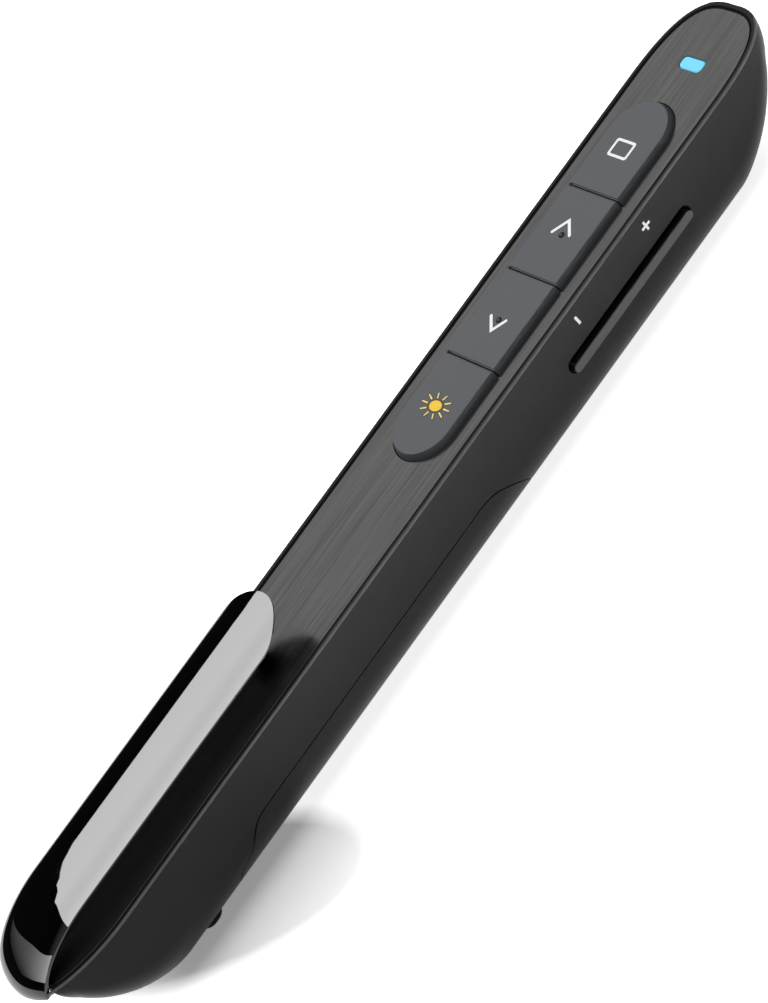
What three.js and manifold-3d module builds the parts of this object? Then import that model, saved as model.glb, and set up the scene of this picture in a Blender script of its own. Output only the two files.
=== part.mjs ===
// Slim wireless presenter with a laser, built as an assembly of separate pieces.
// Millimetres. The pen lies on its underside: +X points out of the laser end, +Y to the left, +Z up.
// The origin is on the flat underside, at mid-length.
import * as THREE from 'three';
import { mergeVertices } from 'three/addons/utils/BufferGeometryUtils.js';
import Module from 'manifold-3d';

const wasm = await Module();
wasm.setup();

// Clearances, overruns and facet counts
const fitGap = 0.3;
const seatGap = 0.05;
const runGap = 0.12;
const overrun = 2;
const fuse = 0.25;
const sliver = 0.025;
const cornerSteps = 6;
const endSteps = 8;
const roundSteps = 20;
const smallRoundSteps = 12;

// Battery, which sets the height and width of the pen
const batteryRadius = 5.25;
const batteryLength = 44.5;
const batteryNubRadius = 1.9;
const batteryNubLength = 1;
const batteryEndBevel = 0.6;
const batteryGap = 0.15;
const batteryTopGap = 0.2;

// Housing: wall, and the stack of pieces above the battery
const wall = 1.3;
const sideRoom = 1.95;
const deckThickness = 0.45;
const boardThickness = 0.8;
const frameThickness = 1.35;
const plateThickness = 0.5;
const plateSink = 0.15;
const batteryZ = wall + batteryGap + batteryRadius;
const deckBottom = batteryZ + batteryRadius + batteryTopGap;
const deckTop = deckBottom + deckThickness;
const boardBottom = deckTop + seatGap;
const boardTop = boardBottom + boardThickness;
const frameBottom = boardTop + fitGap;
const frameTop = frameBottom + frameThickness;
const plateBottom = frameTop + seatGap;
const plateTop = plateBottom + plateThickness;
const bodyHeight = plateTop + plateSink;
const bodyWidth = 2 * (batteryRadius + sideRoom + wall);
const bellyRadius = 7.3;
const bellyRadiusShare = 0.86;

// Housing: plan and side curves of its two ends, as superellipses
const noseTip = 76.7;
const nosePlanLength = 15.2;
const nosePlanPower = 2.87;
const noseChinInset = 0.9;
const noseDepthLength = 16.6;
const noseDepthPower = 1.5;
const noseLip = 1;
const noseTrim = 0.1;
const tailRoom = 30.3;
const tailPlanLength = 16.3;
const tailPlanPower = 2.05;
const tailChinInset = 3.9;
const tailDepthLength = 14.1;
const tailDepthPower = 1.82;
const tailLip = 0.8;
const tailTrim = 1.6;
const endStationShares = [0, 0.2, 0.38, 0.54, 0.67, 0.78, 0.86, 0.92, 0.96, 0.985, 1];
const lipStationShares = [0.35, 0.7, 0.93];

// Housing: rim round the top plate
const rimWidth = 0.7;
const plateGroove = 0.33;

// Pocket clip
const clipWidth = 11.3;
const clipFootWidth = 9.8;
const clipThickness = 0.85;
const clipEdge = 0.22;
const clipArch = 1.15;
const clipArchPower = 5.5;
const clipFront = -20;
const clipNoseLength = 7;
const clipBendInset = 14.4;
const clipBendReach = 13.1;
const clipBendPower = 1.9;
const clipCrown = 1.5;
const clipRim = bodyHeight + 4.3;
const clipFoot = bodyHeight - 0.8;
const clipArmStations = 8;
const clipNoseStations = 7;
const clipBendStations = 14;
const clipAcross = 8;
const clipPadInset = 6.3;
const clipPadLength = 5;
const clipPadWidth = 8;
const clipPadGap = 0.35;
const clipPinInset = 6.7;
const clipPinDrop = 3.4;
const clipPinRadius = 0.7;
const clipPinLength = 10.6;
const clipKnuckleRadius = 1.5;
const clipWebWidth = 4.4;
const clipWebThickness = 0.9;
const clipWebRise = 0.15;
const clipEarWidth = 3;
const clipSwingRoom = 0.5;

// Battery bay, chained back from the volume board: receiver, battery, spring, rear bulkhead
const bayMargin = 2.5;
const bulkheadThickness = 1;
const contactThickness = 0.3;
const contactWidth = 7;
const contactTabWidth = 1.6;
const contactDrop = 3;
const springLength = 4.6;
const springWide = 3.3;
const springNarrow = 1.9;
const springWire = 0.3;
const springTurns = 4.5;
const springStepsPerTurn = 8;
const springSides = 5;
const partitionThickness = 1;
const receiverCapLength = 6.6;
const receiverCapWidth = 12.4;
const receiverCapHeight = 5;
const receiverCapCorner = 1.2;
const receiverPlugLength = 12;
const receiverPlugWidth = 12;
const receiverPlugHeight = 4.5;
const receiverZ = 7.1;
const receiverRoom = 0.4;
const sleeveWall = 0.7;

// Battery cover
const partingHeight = 7.9;
const coverFrontMargin = 0.1;
const coverFrontCurve = 8;
const coverRearMargin = 2.4;
const coverRearCurve = 9;
const coverGap = 0.15;
const coverFrontShares = [
  [0, 1],
  [0.1, 0.985],
  [0.24, 0.955],
  [0.38, 0.89],
  [0.56, 0.76],
  [0.79, 0.53],
  [0.93, 0.27],
  [1, 0],
];
const coverRearShares = [
  [0, 1],
  [0.12, 0.985],
  [0.25, 0.93],
  [0.41, 0.79],
  [0.53, 0.66],
  [0.7, 0.57],
  [0.9, 0.44],
  [1, 0],
];
const coverLipHeight = 1.8;
const coverLipThickness = 0.8;
const coverLipLength = 9;
const coverLipInset = 5;

// Keypad
const padRear = 4.6;
const padFront = 60.1;
const padWidth = 9.5;
const padEnd = 5;
const padRise = 0.8;
const padFlare = 0.4;
const keyPitch = 13.35;
const keySplitFront = 45.7;
const keySplit = 0.45;
const keyRoof = 0.8;
const keyWall = 0.9;
const keyFlange = 0.7;
const keyFlangeThickness = 0.65;
const keyFlangeGap = 0.2;
const keyTravel = 0.3;
const keyStemRadius = 1.2;
const keyNames = ['laser_key', 'previous_key', 'next_key', 'blank_screen_key'];

// Switches under the keys
const switchSize = 5.2;
const switchHeight = 1.4;
const switchFloor = 0.25;
const buttonRadius = 1;
const buttonRise = 0.3;

// Status light
const lightInset = 9.75;
const lightLength = 1.7;
const lightWidth = 3.95;
const lightCorner = 0.5;
const lightFlange = 0.5;
const lightFlangeThickness = 0.7;
const ledLength = 1.2;
const ledWidth = 2;
const ledHeight = 0.5;

// Boards and chips
const boardFrontInset = 7.7;
const boardStepMargin = 0.4;
const boardOverhang = 0.7;
const boardWidth = 12;
const boardTailWidth = 6;
const chipMargin = 4.6;
const chipSize = 5;
const chipHeight = 0.85;
const crystalMargin = 3.9;
const crystalLength = 3.2;
const crystalWidth = 2.5;
const crystalHeight = 0.8;

// Carrier frame
const frameFrontInset = 6.7;
const frameRearInset = 11.9;
const railWidth = 0.9;
const railHeight = 0.8;
const railRearInset = 9.4;
const railFrontInset = 2.1;

// Frame screws
const screwY = 5.2;
const screwFrontMargin = 6.1;
const screwRearMargin = 9.6;
const screwRadius = 0.75;
const screwHeadRadius = 1.5;
const screwHeadHeight = 0.9;
const screwDriveWidth = 0.35;
const screwDriveLength = 1.9;
const screwDriveDepth = 0.5;
const bossRadius = 1.6;
const bossFloor = 0.4;

// Volume rocker
const rockerX = 38.1;
const rockerLength = 25.3;
const rockerHeight = 1.4;
const rockerProud = 0.7;
const rockerZ = bodyHeight - 6.5;
const rockerSlotLength = 26.03;
const rockerSlotHeight = 2;
const rockerPivotInset = 2.6;
const rockerPinRadius = 0.6;
const rockerBeamLength = 20;
const rockerBeamHeight = 2.2;
const rockerBeamInset = 0.55;
const rockerBeamThickness = 0.9;
const rockerBossRadius = 1.3;
const rockerLegOffset = 8.6;
const rockerLegWidth = 1.6;
const lugHeight = 1;
const lugLength = 2.6;
const volumeBoardLength = 24.2;
const volumeBoardHeight = 6.3;
const volumeSwitchSize = 3.5;
const volumeSwitchHeight = 1;
const volumeDomeRadius = 1.1;
const volumeDomeRise = 0.25;
const rockerLegGap = 0.4;
const volumeSwitchY = -3.6;

// Power switch
const knobMargin = 7.5;
const knobLength = 3.7;
const knobWidth = 7.6;
const knobProud = 1.7;
const knobSteps = 8;
const knobPower = 3.4;
const knobFlatShare = 0.55;
const knobTravel = 2;
const knobStemLength = 1.5;
const knobStemWidth = 1.5;
const powerBodyLength = 8;
const powerBodyWidth = 3.6;
const powerBodyHeight = 3.4;
const powerBodyLift = 0.9;
const powerSlotDepth = 1.4;
const powerBoardRearMargin = 1.2;
const powerBoardWidth = 10;
const postLength = 1.4;
const postWidth = 2;
const postInset = 2.4;
const ribbonWidth = 4;
const ribbonThickness = 0.3;
const ribbonFoot = 2.4;

// Laser
const barrelRadius = 3;
const barrelBore = 2.5;
const barrelLength = 11.8;
const diodeFlangeRadius = 2.8;
const diodeFlangeThickness = 0.8;
const diodeCanRadius = 2.3;
const diodeCanLength = 2.2;
const diodeLegRadius = 0.25;
const diodeLegLength = 3.4;
const diodeLegCircle = 1.3;
const lensRadius = 2.35;
const lensThickness = 1.2;
const lensBulge = 0.7;
const lensInset = 0.8;
const lensSteps = 5;
const cradleThickness = 1.4;
const cradleInset = 1.8;
const apertureRadius = 2.1;
const apertureBore = 1.2;
const apertureInset = 6.7;
const apertureGap = 2.8;

// Places along the battery bay, from the volume board backwards
const sleeveFront = rockerX - volumeBoardLength / 2 - bayMargin;
const receiverShoulder = sleeveFront - receiverRoom - receiverPlugLength;
const bulkheadRear = receiverShoulder + 2 * receiverRoom;
const bulkheadFront = bulkheadRear + bulkheadThickness;
const receiverRear = receiverShoulder - receiverCapLength;
const partitionRear = receiverRear - receiverRoom - partitionThickness;
const positiveRear = partitionRear - seatGap - contactThickness;
const batteryFront = positiveRear - fitGap;
const batteryRear = batteryFront - batteryLength;
const springRear = batteryRear - fitGap - springLength;
const bayRear = springRear - fitGap - contactThickness - seatGap;

// Places that follow from the bay and from the two ends
const tailTip = tailRoom - bayRear;
const coverFront = bulkheadFront + coverFrontMargin;
const coverRear = bayRear - coverRearMargin;
const knobX = bayRear - knobMargin;
const powerBodyX = knobX + knobTravel / 2;
const powerBoardRear = powerBodyX - powerBodyLength / 2 - powerBoardRearMargin;
const powerBoardFront = bayRear - bulkheadThickness - fitGap;
const chipX = bulkheadFront + chipMargin + chipSize / 2;
const crystalX = chipX + chipSize / 2 + crystalMargin + crystalLength / 2;
const boardFront = noseTip - boardFrontInset;
const boardStep = padRear + boardStepMargin;
const boardRear = powerBoardRear - boardOverhang;
const frameFront = noseTip - frameFrontInset;
const frameRear = frameRearInset - tailTip;
const railRear = padRear + railRearInset;
const railFront = padFront - railFrontInset;
const screwFrontX = partitionRear - screwFrontMargin;
const screwRearX = bayRear + screwRearMargin;
const lightX = noseTip - lightInset;
const apertureRear = noseTip - apertureInset;
const barrelRear = apertureRear - apertureGap - barrelLength;
const laserZ = boardBottom - fitGap - barrelRadius;
const clipBendStart = clipBendInset - tailTip;
const clipPinX = clipPinInset - tailTip;
const clipPadX = clipFront - clipPadInset;

// Colours
const shellBlack = { color: 0x2b2b2c, roughness: 0.5, metalness: 0 };
const keyGrey = { color: 0x636468, roughness: 0.45, metalness: 0 };
const glossBlack = { color: 0x060606, roughness: 0.06, metalness: 0 };
const brushedMetal = { color: 0x5f6060, roughness: 0.4, metalness: 0.8 };
const innerBlack = { color: 0x1c1c1d, roughness: 0.7, metalness: 0 };
const boardGreen = { color: 0x14502d, roughness: 0.5, metalness: 0 };
const chipBlack = { color: 0x151515, roughness: 0.4, metalness: 0 };
const plainSteel = { color: 0xb8babd, roughness: 0.3, metalness: 1 };
const brass = { color: 0xb9974f, roughness: 0.3, metalness: 1 };
const goldLead = { color: 0xc9a455, roughness: 0.35, metalness: 1 };
const glassClear = { color: 0xcfe3ea, roughness: 0.05, metalness: 0 };
const lightBlue = { color: 0x73d5f8, roughness: 0.25, metalness: 0 };
const ledWhite = { color: 0xe8eef0, roughness: 0.4, metalness: 0 };
const cellSleeve = { color: 0x3b6ea5, roughness: 0.35, metalness: 0.1 };
const filmAmber = { color: 0xb9752c, roughness: 0.4, metalness: 0 };

const part = new THREE.Group();

// Turns a closed geometry into a solid for joining and cutting
function solidOf(geometry) {
  geometry.deleteAttribute('normal');
  geometry.deleteAttribute('uv');
  const merged = mergeVertices(geometry);
  const vertProperties = new Float32Array(merged.attributes.position.array);
  const triVerts = new Uint32Array(merged.index.array);
  return new wasm.Manifold(new wasm.Mesh({ numProp: 3, vertProperties, triVerts }));
}

// Adds a solid to the part as one named mesh
function addPiece(name, solid, look) {
  const result = solid.getMesh();
  const geometry = new THREE.BufferGeometry();
  geometry.setAttribute('position', new THREE.BufferAttribute(new Float32Array(result.vertProperties), 3));
  geometry.setIndex(new THREE.BufferAttribute(new Uint32Array(result.triVerts), 1));
  geometry.computeVertexNormals();
  const mesh = new THREE.Mesh(geometry, new THREE.MeshStandardMaterial(look));
  mesh.name = name;
  part.add(mesh);
}

// Extrudes an outline of [a, b] points; the frame matrix says where a, b and the depth point
function extruded(points, depth, frame) {
  const shape = new THREE.Shape(points.map(([a, b]) => new THREE.Vector2(a, b)));
  const geometry = new THREE.ExtrudeGeometry(shape, { depth, bevelEnabled: false });
  geometry.applyMatrix4(frame);
  return solidOf(geometry);
}

const axisX = new THREE.Vector3(1, 0, 0);
const axisY = new THREE.Vector3(0, 1, 0);
const axisZ = new THREE.Vector3(0, 0, 1);

// Outline in X and Y, between two heights
function prismZ(points, low, high) {
  return extruded(points, high - low, new THREE.Matrix4().makeTranslation(0, 0, low));
}

// Outline in X and Z, between two places across the pen
function prismY(points, right, left) {
  const frame = new THREE.Matrix4().makeBasis(axisX, axisZ, axisY.clone().negate());
  return extruded(points, left - right, frame.setPosition(0, left, 0));
}

// Box between two corners
function box(x0, x1, y0, y1, z0, z1) {
  const geometry = new THREE.BoxGeometry(x1 - x0, y1 - y0, z1 - z0);
  geometry.translate((x0 + x1) / 2, (y0 + y1) / 2, (z0 + z1) / 2);
  return solidOf(geometry);
}

// Box centred across the pen
function midBox(x0, x1, width, z0, z1) {
  return box(x0, x1, -width / 2, width / 2, z0, z1);
}

// Round bar along X, Y or Z between two places on that axis
function bar(axis, start, end, radius, a, b, steps = roundSteps) {
  const geometry = new THREE.CylinderGeometry(radius, radius, end - start, steps);
  const middle = (start + end) / 2;
  if (axis === 'x') {
    geometry.rotateZ(-Math.PI / 2);
    geometry.translate(middle, a, b);
  } else if (axis === 'y') {
    geometry.translate(a, middle, b);
  } else {
    geometry.rotateX(Math.PI / 2);
    geometry.translate(a, b, middle);
  }
  return solidOf(geometry);
}

// Turned solid round an axis along X; the profile is [radius, x] points
function turnedX(profile, y, z, steps = roundSteps) {
  const geometry = new THREE.LatheGeometry(profile.map(([r, x]) => new THREE.Vector2(r, x)), steps);
  geometry.rotateZ(-Math.PI / 2);
  geometry.translate(0, y, z);
  return solidOf(geometry);
}

// Skins a row of closed convex loops, each a list of [x, y, z] points in the same order,
// and closes both ends with a zigzag of triangles
function loft(loops) {
  const count = loops[0].length;
  const positions = loops.flat(2);
  const index = [];
  for (let i = 0; i + 1 < loops.length; i += 1) {
    for (let j = 0; j < count; j += 1) {
      const next = (j + 1) % count;
      const a = i * count + j;
      const b = i * count + next;
      index.push(a, b, b + count, a, b + count, a + count);
    }
  }
  const last = (loops.length - 1) * count;
  let first = 0;
  let second = count - 1;
  while (first + 1 < second) {
    index.push(first, second, first + 1, last + first, last + first + 1, last + second);
    first += 1;
    if (first + 1 < second) {
      index.push(first, second, second - 1, last + first, last + second - 1, last + second);
      second -= 1;
    }
  }
  const geometry = new THREE.BufferGeometry();
  geometry.setAttribute('position', new THREE.BufferAttribute(new Float32Array(positions), 3));
  geometry.setIndex(index);
  return solidOf(geometry);
}

// Superellipse: how much is left of a size at a share of the way along its end
function taper(share, power) {
  const along = Math.min(Math.max(share, 0), 1);
  return Math.pow(1 - Math.pow(along, power), 1 / power);
}

// Half the body's width at x
function halfWidthAt(x) {
  if (x > 0) {
    return (bodyWidth / 2) * taper((x - noseTip + nosePlanLength) / nosePlanLength, nosePlanPower);
  }
  return (bodyWidth / 2) * taper((-x - tailTip + tailPlanLength) / tailPlanLength, tailPlanPower);
}

// The body's depth below its top plane at x
function depthAt(x) {
  if (x > 0) {
    const share = (x - noseTip + noseChinInset + noseDepthLength) / noseDepthLength;
    return noseLip + (bodyHeight - noseLip) * taper(share, noseDepthPower);
  }
  const share = (-x - tailTip + tailChinInset + tailDepthLength) / tailDepthLength;
  return tailLip + (bodyHeight - tailLip) * taper(share, tailDepthPower);
}

// One D-shaped section of the body, drawn in by inset on every side but the top
function bodySection(x, inset, top) {
  const shifted = x + Math.sign(x) * inset;
  const outerHalf = halfWidthAt(shifted);
  const outerDepth = depthAt(shifted);
  const radius = Math.min(bellyRadius, bellyRadiusShare * outerHalf, bellyRadiusShare * outerDepth) - inset;
  const half = outerHalf - inset;
  const bottom = bodyHeight - outerDepth + inset;
  const loop = [[x, half, top], [x, -half, top]];
  for (let i = 0; i <= cornerSteps; i += 1) {
    const angle = (Math.PI / 2) * (i / cornerSteps);
    loop.push([x, -half + radius * (1 - Math.cos(angle)), bottom + radius * (1 - Math.sin(angle))]);
  }
  for (let i = cornerSteps; i >= 0; i -= 1) {
    const angle = (Math.PI / 2) * (i / cornerSteps);
    loop.push([x, half - radius * (1 - Math.cos(angle)), bottom + radius * (1 - Math.sin(angle))]);
  }
  return loop;
}

// Body form drawn in by inset, between two places, with its top at a height
function bodyForm(inset, rear, front, top) {
  const noseChin = noseTip - noseChinInset;
  const tailChin = tailTip - tailChinInset;
  const places = [
    ...endStationShares.map((share) => -(tailChin - tailDepthLength * (1 - share))),
    ...lipStationShares.map((share) => -(tailChin + tailChinInset * share)),
    ...endStationShares.map((share) => noseChin - noseDepthLength * (1 - share)),
    ...lipStationShares.map((share) => noseChin + noseChinInset * share),
  ].map((x) => x - Math.sign(x) * inset);
  const inside = places.filter((x) => x > rear + fuse && x < front - fuse);
  const stations = [rear, ...inside.sort((a, b) => a - b), front];
  return loft(stations.map((x) => bodySection(x, inset, top)));
}

const bodyRearEnd = -tailTip + tailTrim;
const bodyFrontEnd = noseTip - noseTrim;
const cavityRear = -tailTip + tailChinInset + wall + tailLip;
const cavityFront = noseTip - noseChinInset - wall - noseLip;

// Cavity-like form, for pieces that stand inside the walls
function innerForm(inset) {
  return bodyForm(inset, cavityRear, cavityFront, plateBottom);
}

// The body's outline seen from above, offset inwards by a distance along its normal
function planOutline(inset) {
  const half = [];
  for (let i = 0; i <= endSteps; i += 1) {
    const angle = (Math.PI / 2) * (i / endSteps);
    half.push([
      noseTip - nosePlanLength + nosePlanLength * Math.pow(Math.cos(angle), 2 / nosePlanPower),
      (bodyWidth / 2) * Math.pow(Math.sin(angle), 2 / nosePlanPower),
    ]);
  }
  for (let i = endSteps; i >= 0; i -= 1) {
    const angle = (Math.PI / 2) * (i / endSteps);
    half.push([
      -(tailTip - tailPlanLength + tailPlanLength * Math.pow(Math.cos(angle), 2 / tailPlanPower)),
      (bodyWidth / 2) * Math.pow(Math.sin(angle), 2 / tailPlanPower),
    ]);
  }
  const mirrored = half.slice(1, -1).reverse().map(([x, y]) => [x, -y]);
  const loop = [...half, ...mirrored];
  return loop.map(([x, y], i) => {
    const before = loop[(i + loop.length - 1) % loop.length];
    const after = loop[(i + 1) % loop.length];
    const length = Math.hypot(after[0] - before[0], after[1] - before[1]);
    return [
      x - (inset * (after[1] - before[1])) / length,
      y + (inset * (after[0] - before[0])) / length,
    ];
  });
}

// Keypad outline seen from above, offset outwards
function padOutline(offset) {
  const points = [];
  const reach = padEnd + offset;
  const half = padWidth / 2 + offset;
  for (let i = 0; i <= 2 * endSteps; i += 1) {
    const angle = -Math.PI / 2 + (Math.PI / 2) * (i / endSteps);
    points.push([padFront - padEnd + reach * Math.cos(angle), half * Math.sin(angle)]);
  }
  for (let i = 0; i <= 2 * endSteps; i += 1) {
    const angle = Math.PI / 2 + (Math.PI / 2) * (i / endSteps);
    points.push([padRear + padEnd + reach * Math.cos(angle), half * Math.sin(angle)]);
  }
  return points;
}

// Rectangle with rounded corners, as [a, b] points
function roundedOutline(a, b, length, width, corner) {
  const points = [];
  const turns = [[1, 1], [-1, 1], [-1, -1], [1, -1]];
  turns.forEach(([alongA, alongB], turn) => {
    for (let i = 0; i <= smallRoundSteps / 4; i += 1) {
      const angle = (Math.PI / 2) * (turn + i / (smallRoundSteps / 4));
      points.push([
        a + alongA * (length / 2 - corner) + corner * Math.cos(angle),
        b + alongB * (width / 2 - corner) + corner * Math.sin(angle),
      ]);
    }
  });
  return points;
}

// Ranges of the four keys along X, from the laser key at the rear to the blank-screen key
function keyRange(i) {
  const splits = [2, 1, 0].map((step) => keySplitFront - keyPitch * step);
  const start = i === 0 ? padRear - overrun : splits[i - 1] + keySplit / 2;
  const end = i === splits.length ? padFront + overrun : splits[i] - keySplit / 2;
  return [start, end];
}

// Middle of a key's visible top along X
function keyMiddle(i) {
  const [start, end] = keyRange(i);
  return (Math.max(start, padRear) + Math.min(end, padFront)) / 2;
}

// How far the clip's outer surface stands above its rim, at a share of its half-width
function clipArchAt(across) {
  return clipArch * (1 - Math.pow(Math.abs(across), clipArchPower));
}

// Place on the clip's arm: half is the local half-width, inset goes into the clip's thickness
function clipArmPoint(x, half, across, inset) {
  const y = half * across;
  return [x, y, clipRim + clipArchAt(y / (clipWidth / 2)) - inset];
}

// Place on the clip's bend: turn runs along the bend from the arm down to the foot
function clipBendPoint(turn, across, inset) {
  const reach = clipBendReach - clipCrown * across * across - inset;
  const rise = clipRim + clipArchAt(across) - clipFoot - inset;
  const angle = (Math.PI / 2) * turn;
  const width = clipWidth + (clipFootWidth - clipWidth) * turn * turn;
  return [
    clipBendStart - reach * Math.pow(Math.sin(angle), 2 / clipBendPower),
    (width / 2) * across,
    clipFoot + rise * Math.pow(Math.cos(angle), 2 / clipBendPower),
  ];
}

// One section of the clip: the outer surface from right to left, then the inner one back.
// The rim is thin along the arm and takes the full thickness at the foot.
function clipSection(place, turn) {
  const rim = clipEdge + (clipThickness - clipEdge) * turn * turn;
  const loop = [];
  for (let i = 0; i <= clipAcross; i += 1) {
    loop.push(place(-1 + 2 * (i / clipAcross), 0));
  }
  for (let i = clipAcross; i >= 0; i -= 1) {
    const across = -1 + 2 * (i / clipAcross);
    loop.push(place(across, rim + (clipThickness - rim) * (1 - across * across)));
  }
  return loop;
}

// Clip blade: rounded front end, straight arm and the bend down round the tail
function clipBlade() {
  const sections = [];
  for (let i = 0; i < clipNoseStations; i += 1) {
    const angle = (Math.PI / 2) * ((i + 1 / 2) / clipNoseStations);
    const x = clipFront - clipNoseLength * (1 - Math.cos(angle));
    const half = (clipWidth / 2) * Math.sin(angle);
    sections.push(clipSection((across, inset) => clipArmPoint(x, half, across, inset), 0));
  }
  const armFront = clipFront - clipNoseLength;
  for (let i = 0; i < clipArmStations; i += 1) {
    const x = armFront + (clipBendStart - armFront) * (i / clipArmStations);
    sections.push(clipSection((across, inset) => clipArmPoint(x, clipWidth / 2, across, inset), 0));
  }
  for (let i = 0; i <= clipBendStations; i += 1) {
    const turn = i / clipBendStations;
    sections.push(clipSection((across, inset) => clipBendPoint(turn, across, inset), turn));
  }
  return loft(sections);
}

// Space that the housing and the plate leave behind the clip's inner surface
function clipTailCut() {
  const grow = (clipFootWidth / 2 + fitGap) / (clipFootWidth / 2);
  const points = [];
  for (let i = 0; i <= clipAcross; i += 1) {
    const across = grow * (-1 + 2 * (i / clipAcross));
    const reach = clipBendReach - clipCrown * across * across - clipThickness - fitGap;
    const level = (bodyHeight - clipFoot) / (clipRim - clipFoot - clipThickness);
    points.push([clipBendStart - reach * taper(level, clipBendPower), (clipFootWidth / 2) * across]);
  }
  const half = (clipFootWidth / 2) * grow;
  points.push([-tailTip - overrun, half], [-tailTip - overrun, -half]);
  return prismZ(points, -overrun, bodyHeight + overrun);
}

const clipPinZ = bodyHeight - clipPinDrop;

// Outline of the clip's web from its foot to the hinge pin, thickened by room above and below
function clipWebOutline(roomAbove, roomBelow) {
  const footX = clipBendStart - clipBendReach + clipThickness;
  const footZ = clipFoot + clipWebRise;
  const length = Math.hypot(clipPinX - footX, clipPinZ - footZ);
  const nx = -(clipPinZ - footZ) / length;
  const nz = (clipPinX - footX) / length;
  const above = clipWebThickness / 2 + roomAbove;
  const below = clipWebThickness / 2 + roomBelow;
  return [
    [footX - nx * below, footZ - nz * below],
    [clipPinX - nx * below, clipPinZ - nz * below],
    [clipPinX + nx * above, clipPinZ + nz * above],
    [footX + nx * above, footZ + nz * above],
  ];
}

// Battery cover's outline seen from the side, grown by a gap
function coverOutline(gap) {
  const frontStart = coverFront - coverFrontCurve;
  const rearStart = coverRear + coverRearCurve;
  const front = coverFrontShares.map(([along, up]) => [
    frontStart + gap + coverFrontCurve * along,
    (partingHeight + gap) * up,
  ]);
  const rear = coverRearShares.map(([along, up]) => [
    rearStart - gap - coverRearCurve * along,
    (partingHeight + gap) * up,
  ]);
  const low = [[coverFront + gap, -overrun], [coverRear - gap, -overrun]];
  return [...rear.slice().reverse(), ...front, ...low];
}

const innerHalf = bodyWidth / 2 - wall;
const rockerPivotY = -bodyWidth / 2 + rockerPivotInset;
const powerBodyBottom = wall + powerBodyLift;
const powerBoardBottom = powerBodyBottom + powerBodyHeight + seatGap;

function addHousing() {
  const skin = bodyForm(0, bodyRearEnd, bodyFrontEnd, bodyHeight);
  const cavity = bodyForm(wall, cavityRear, cavityFront, frameTop + fuse);
  const recess = prismZ(planOutline(rimWidth), frameTop, bodyHeight + overrun);
  const coverCut = prismY(coverOutline(coverGap), -bodyWidth, bodyWidth);
  const rockerSlot = prismY(
    roundedOutline(rockerX, rockerZ, rockerSlotLength, rockerSlotHeight, rockerSlotHeight / 2),
    -bodyWidth,
    rockerPivotY,
  );
  let shell = skin.subtract(cavity).subtract(recess).subtract(coverCut).subtract(rockerSlot);
  shell = shell.add(bayWalls()).add(wallRails()).add(rockerLugs()).add(laserCradles());
  shell = shell.add(clipEars()).add(switchPosts());
  shell = shell.subtract(bayCuts());
  shell = shell.subtract(bar('x', cavityFront - barrelLength, noseTip, apertureRadius + runGap, 0, laserZ));
  shell = shell.subtract(rockerPinCut()).subtract(knobCut());
  shell = shell.subtract(clipTailCut()).subtract(clipCut());
  addPiece('housing', shell, shellBlack);
}

// Deck over the battery, with the bulkheads and the receiver's sleeve that hang from it
function bayWalls() {
  const clear = innerForm(wall + fitGap);
  const rearWall = midBox(bayRear - bulkheadThickness, bayRear, bodyWidth, 0, deckTop);
  const partition = midBox(partitionRear, partitionRear + partitionThickness, bodyWidth, 0, deckTop);
  const frontWall = midBox(bulkheadRear, bulkheadFront, bodyWidth, 0, deckTop);
  const sleeveWidth = receiverPlugWidth + 2 * (fitGap + sleeveWall);
  const sleeveHalfHeight = receiverPlugHeight / 2 + fitGap + sleeveWall;
  const sleeve = midBox(
    bulkheadRear,
    sleeveFront,
    sleeveWidth,
    receiverZ - sleeveHalfHeight,
    receiverZ + sleeveHalfHeight,
  );
  const ahead = midBox(coverFront + fitGap, sleeveFront, bodyWidth, 0, deckTop);
  const fusedSleeve = sleeve.intersect(ahead).intersect(innerForm(wall - fuse));
  const walls = rearWall.add(partition).add(frontWall).add(sleeve).intersect(clear);
  const deck = midBox(
    bayRear - bulkheadThickness,
    bulkheadFront,
    2 * (innerHalf + fuse),
    deckBottom,
    deckTop,
  );
  return walls.add(fusedSleeve).add(deck);
}

// Holes in the deck and bulkheads for the plug, the contacts' tabs and the screws
function bayCuts() {
  const plugWidth = receiverPlugWidth + 2 * fitGap;
  const plugHalf = receiverPlugHeight / 2 + fitGap;
  let cuts = midBox(
    bulkheadRear - overrun,
    sleeveFront + overrun,
    plugWidth,
    receiverZ - plugHalf,
    receiverZ + plugHalf,
  );
  for (const rear of [bayRear + seatGap, positiveRear]) {
    cuts = cuts.add(midBox(
      rear - fitGap,
      rear + contactThickness + fitGap,
      contactTabWidth + 2 * fitGap,
      deckBottom - seatGap,
      deckTop + seatGap,
    ));
  }
  for (const [x, y] of screwPlaces()) {
    const radius = screwRadius + runGap;
    cuts = cuts.add(bar('z', deckBottom - overrun, deckTop + overrun, radius, x, y, smallRoundSteps));
  }
  return cuts;
}

function screwPlaces() {
  return [[screwFrontX, -screwY], [screwRearX, screwY]];
}

// Rails along both walls that carry the frame beside the keypad
function wallRails() {
  const low = frameBottom - seatGap - railHeight;
  const high = frameBottom - seatGap;
  const left = box(railRear, railFront, innerHalf - railWidth, innerHalf + fuse, low, high);
  const right = box(railRear, railFront, -innerHalf - fuse, -innerHalf + railWidth, low, high);
  return left.add(right);
}

// Two lugs inside the right wall that hold the rocker's pin
function rockerLugs() {
  const inner = rockerPivotY + rockerPinRadius + lugHeight;
  const gap = rockerBeamHeight / 2 + fitGap;
  const lugs = [-gap - lugHeight, gap].map((low) => box(
    rockerX - lugLength / 2,
    rockerX + lugLength / 2,
    -innerHalf - fuse,
    inner,
    rockerZ + low,
    rockerZ + low + lugHeight,
  ));
  return lugs[0].add(lugs[1]);
}

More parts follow.
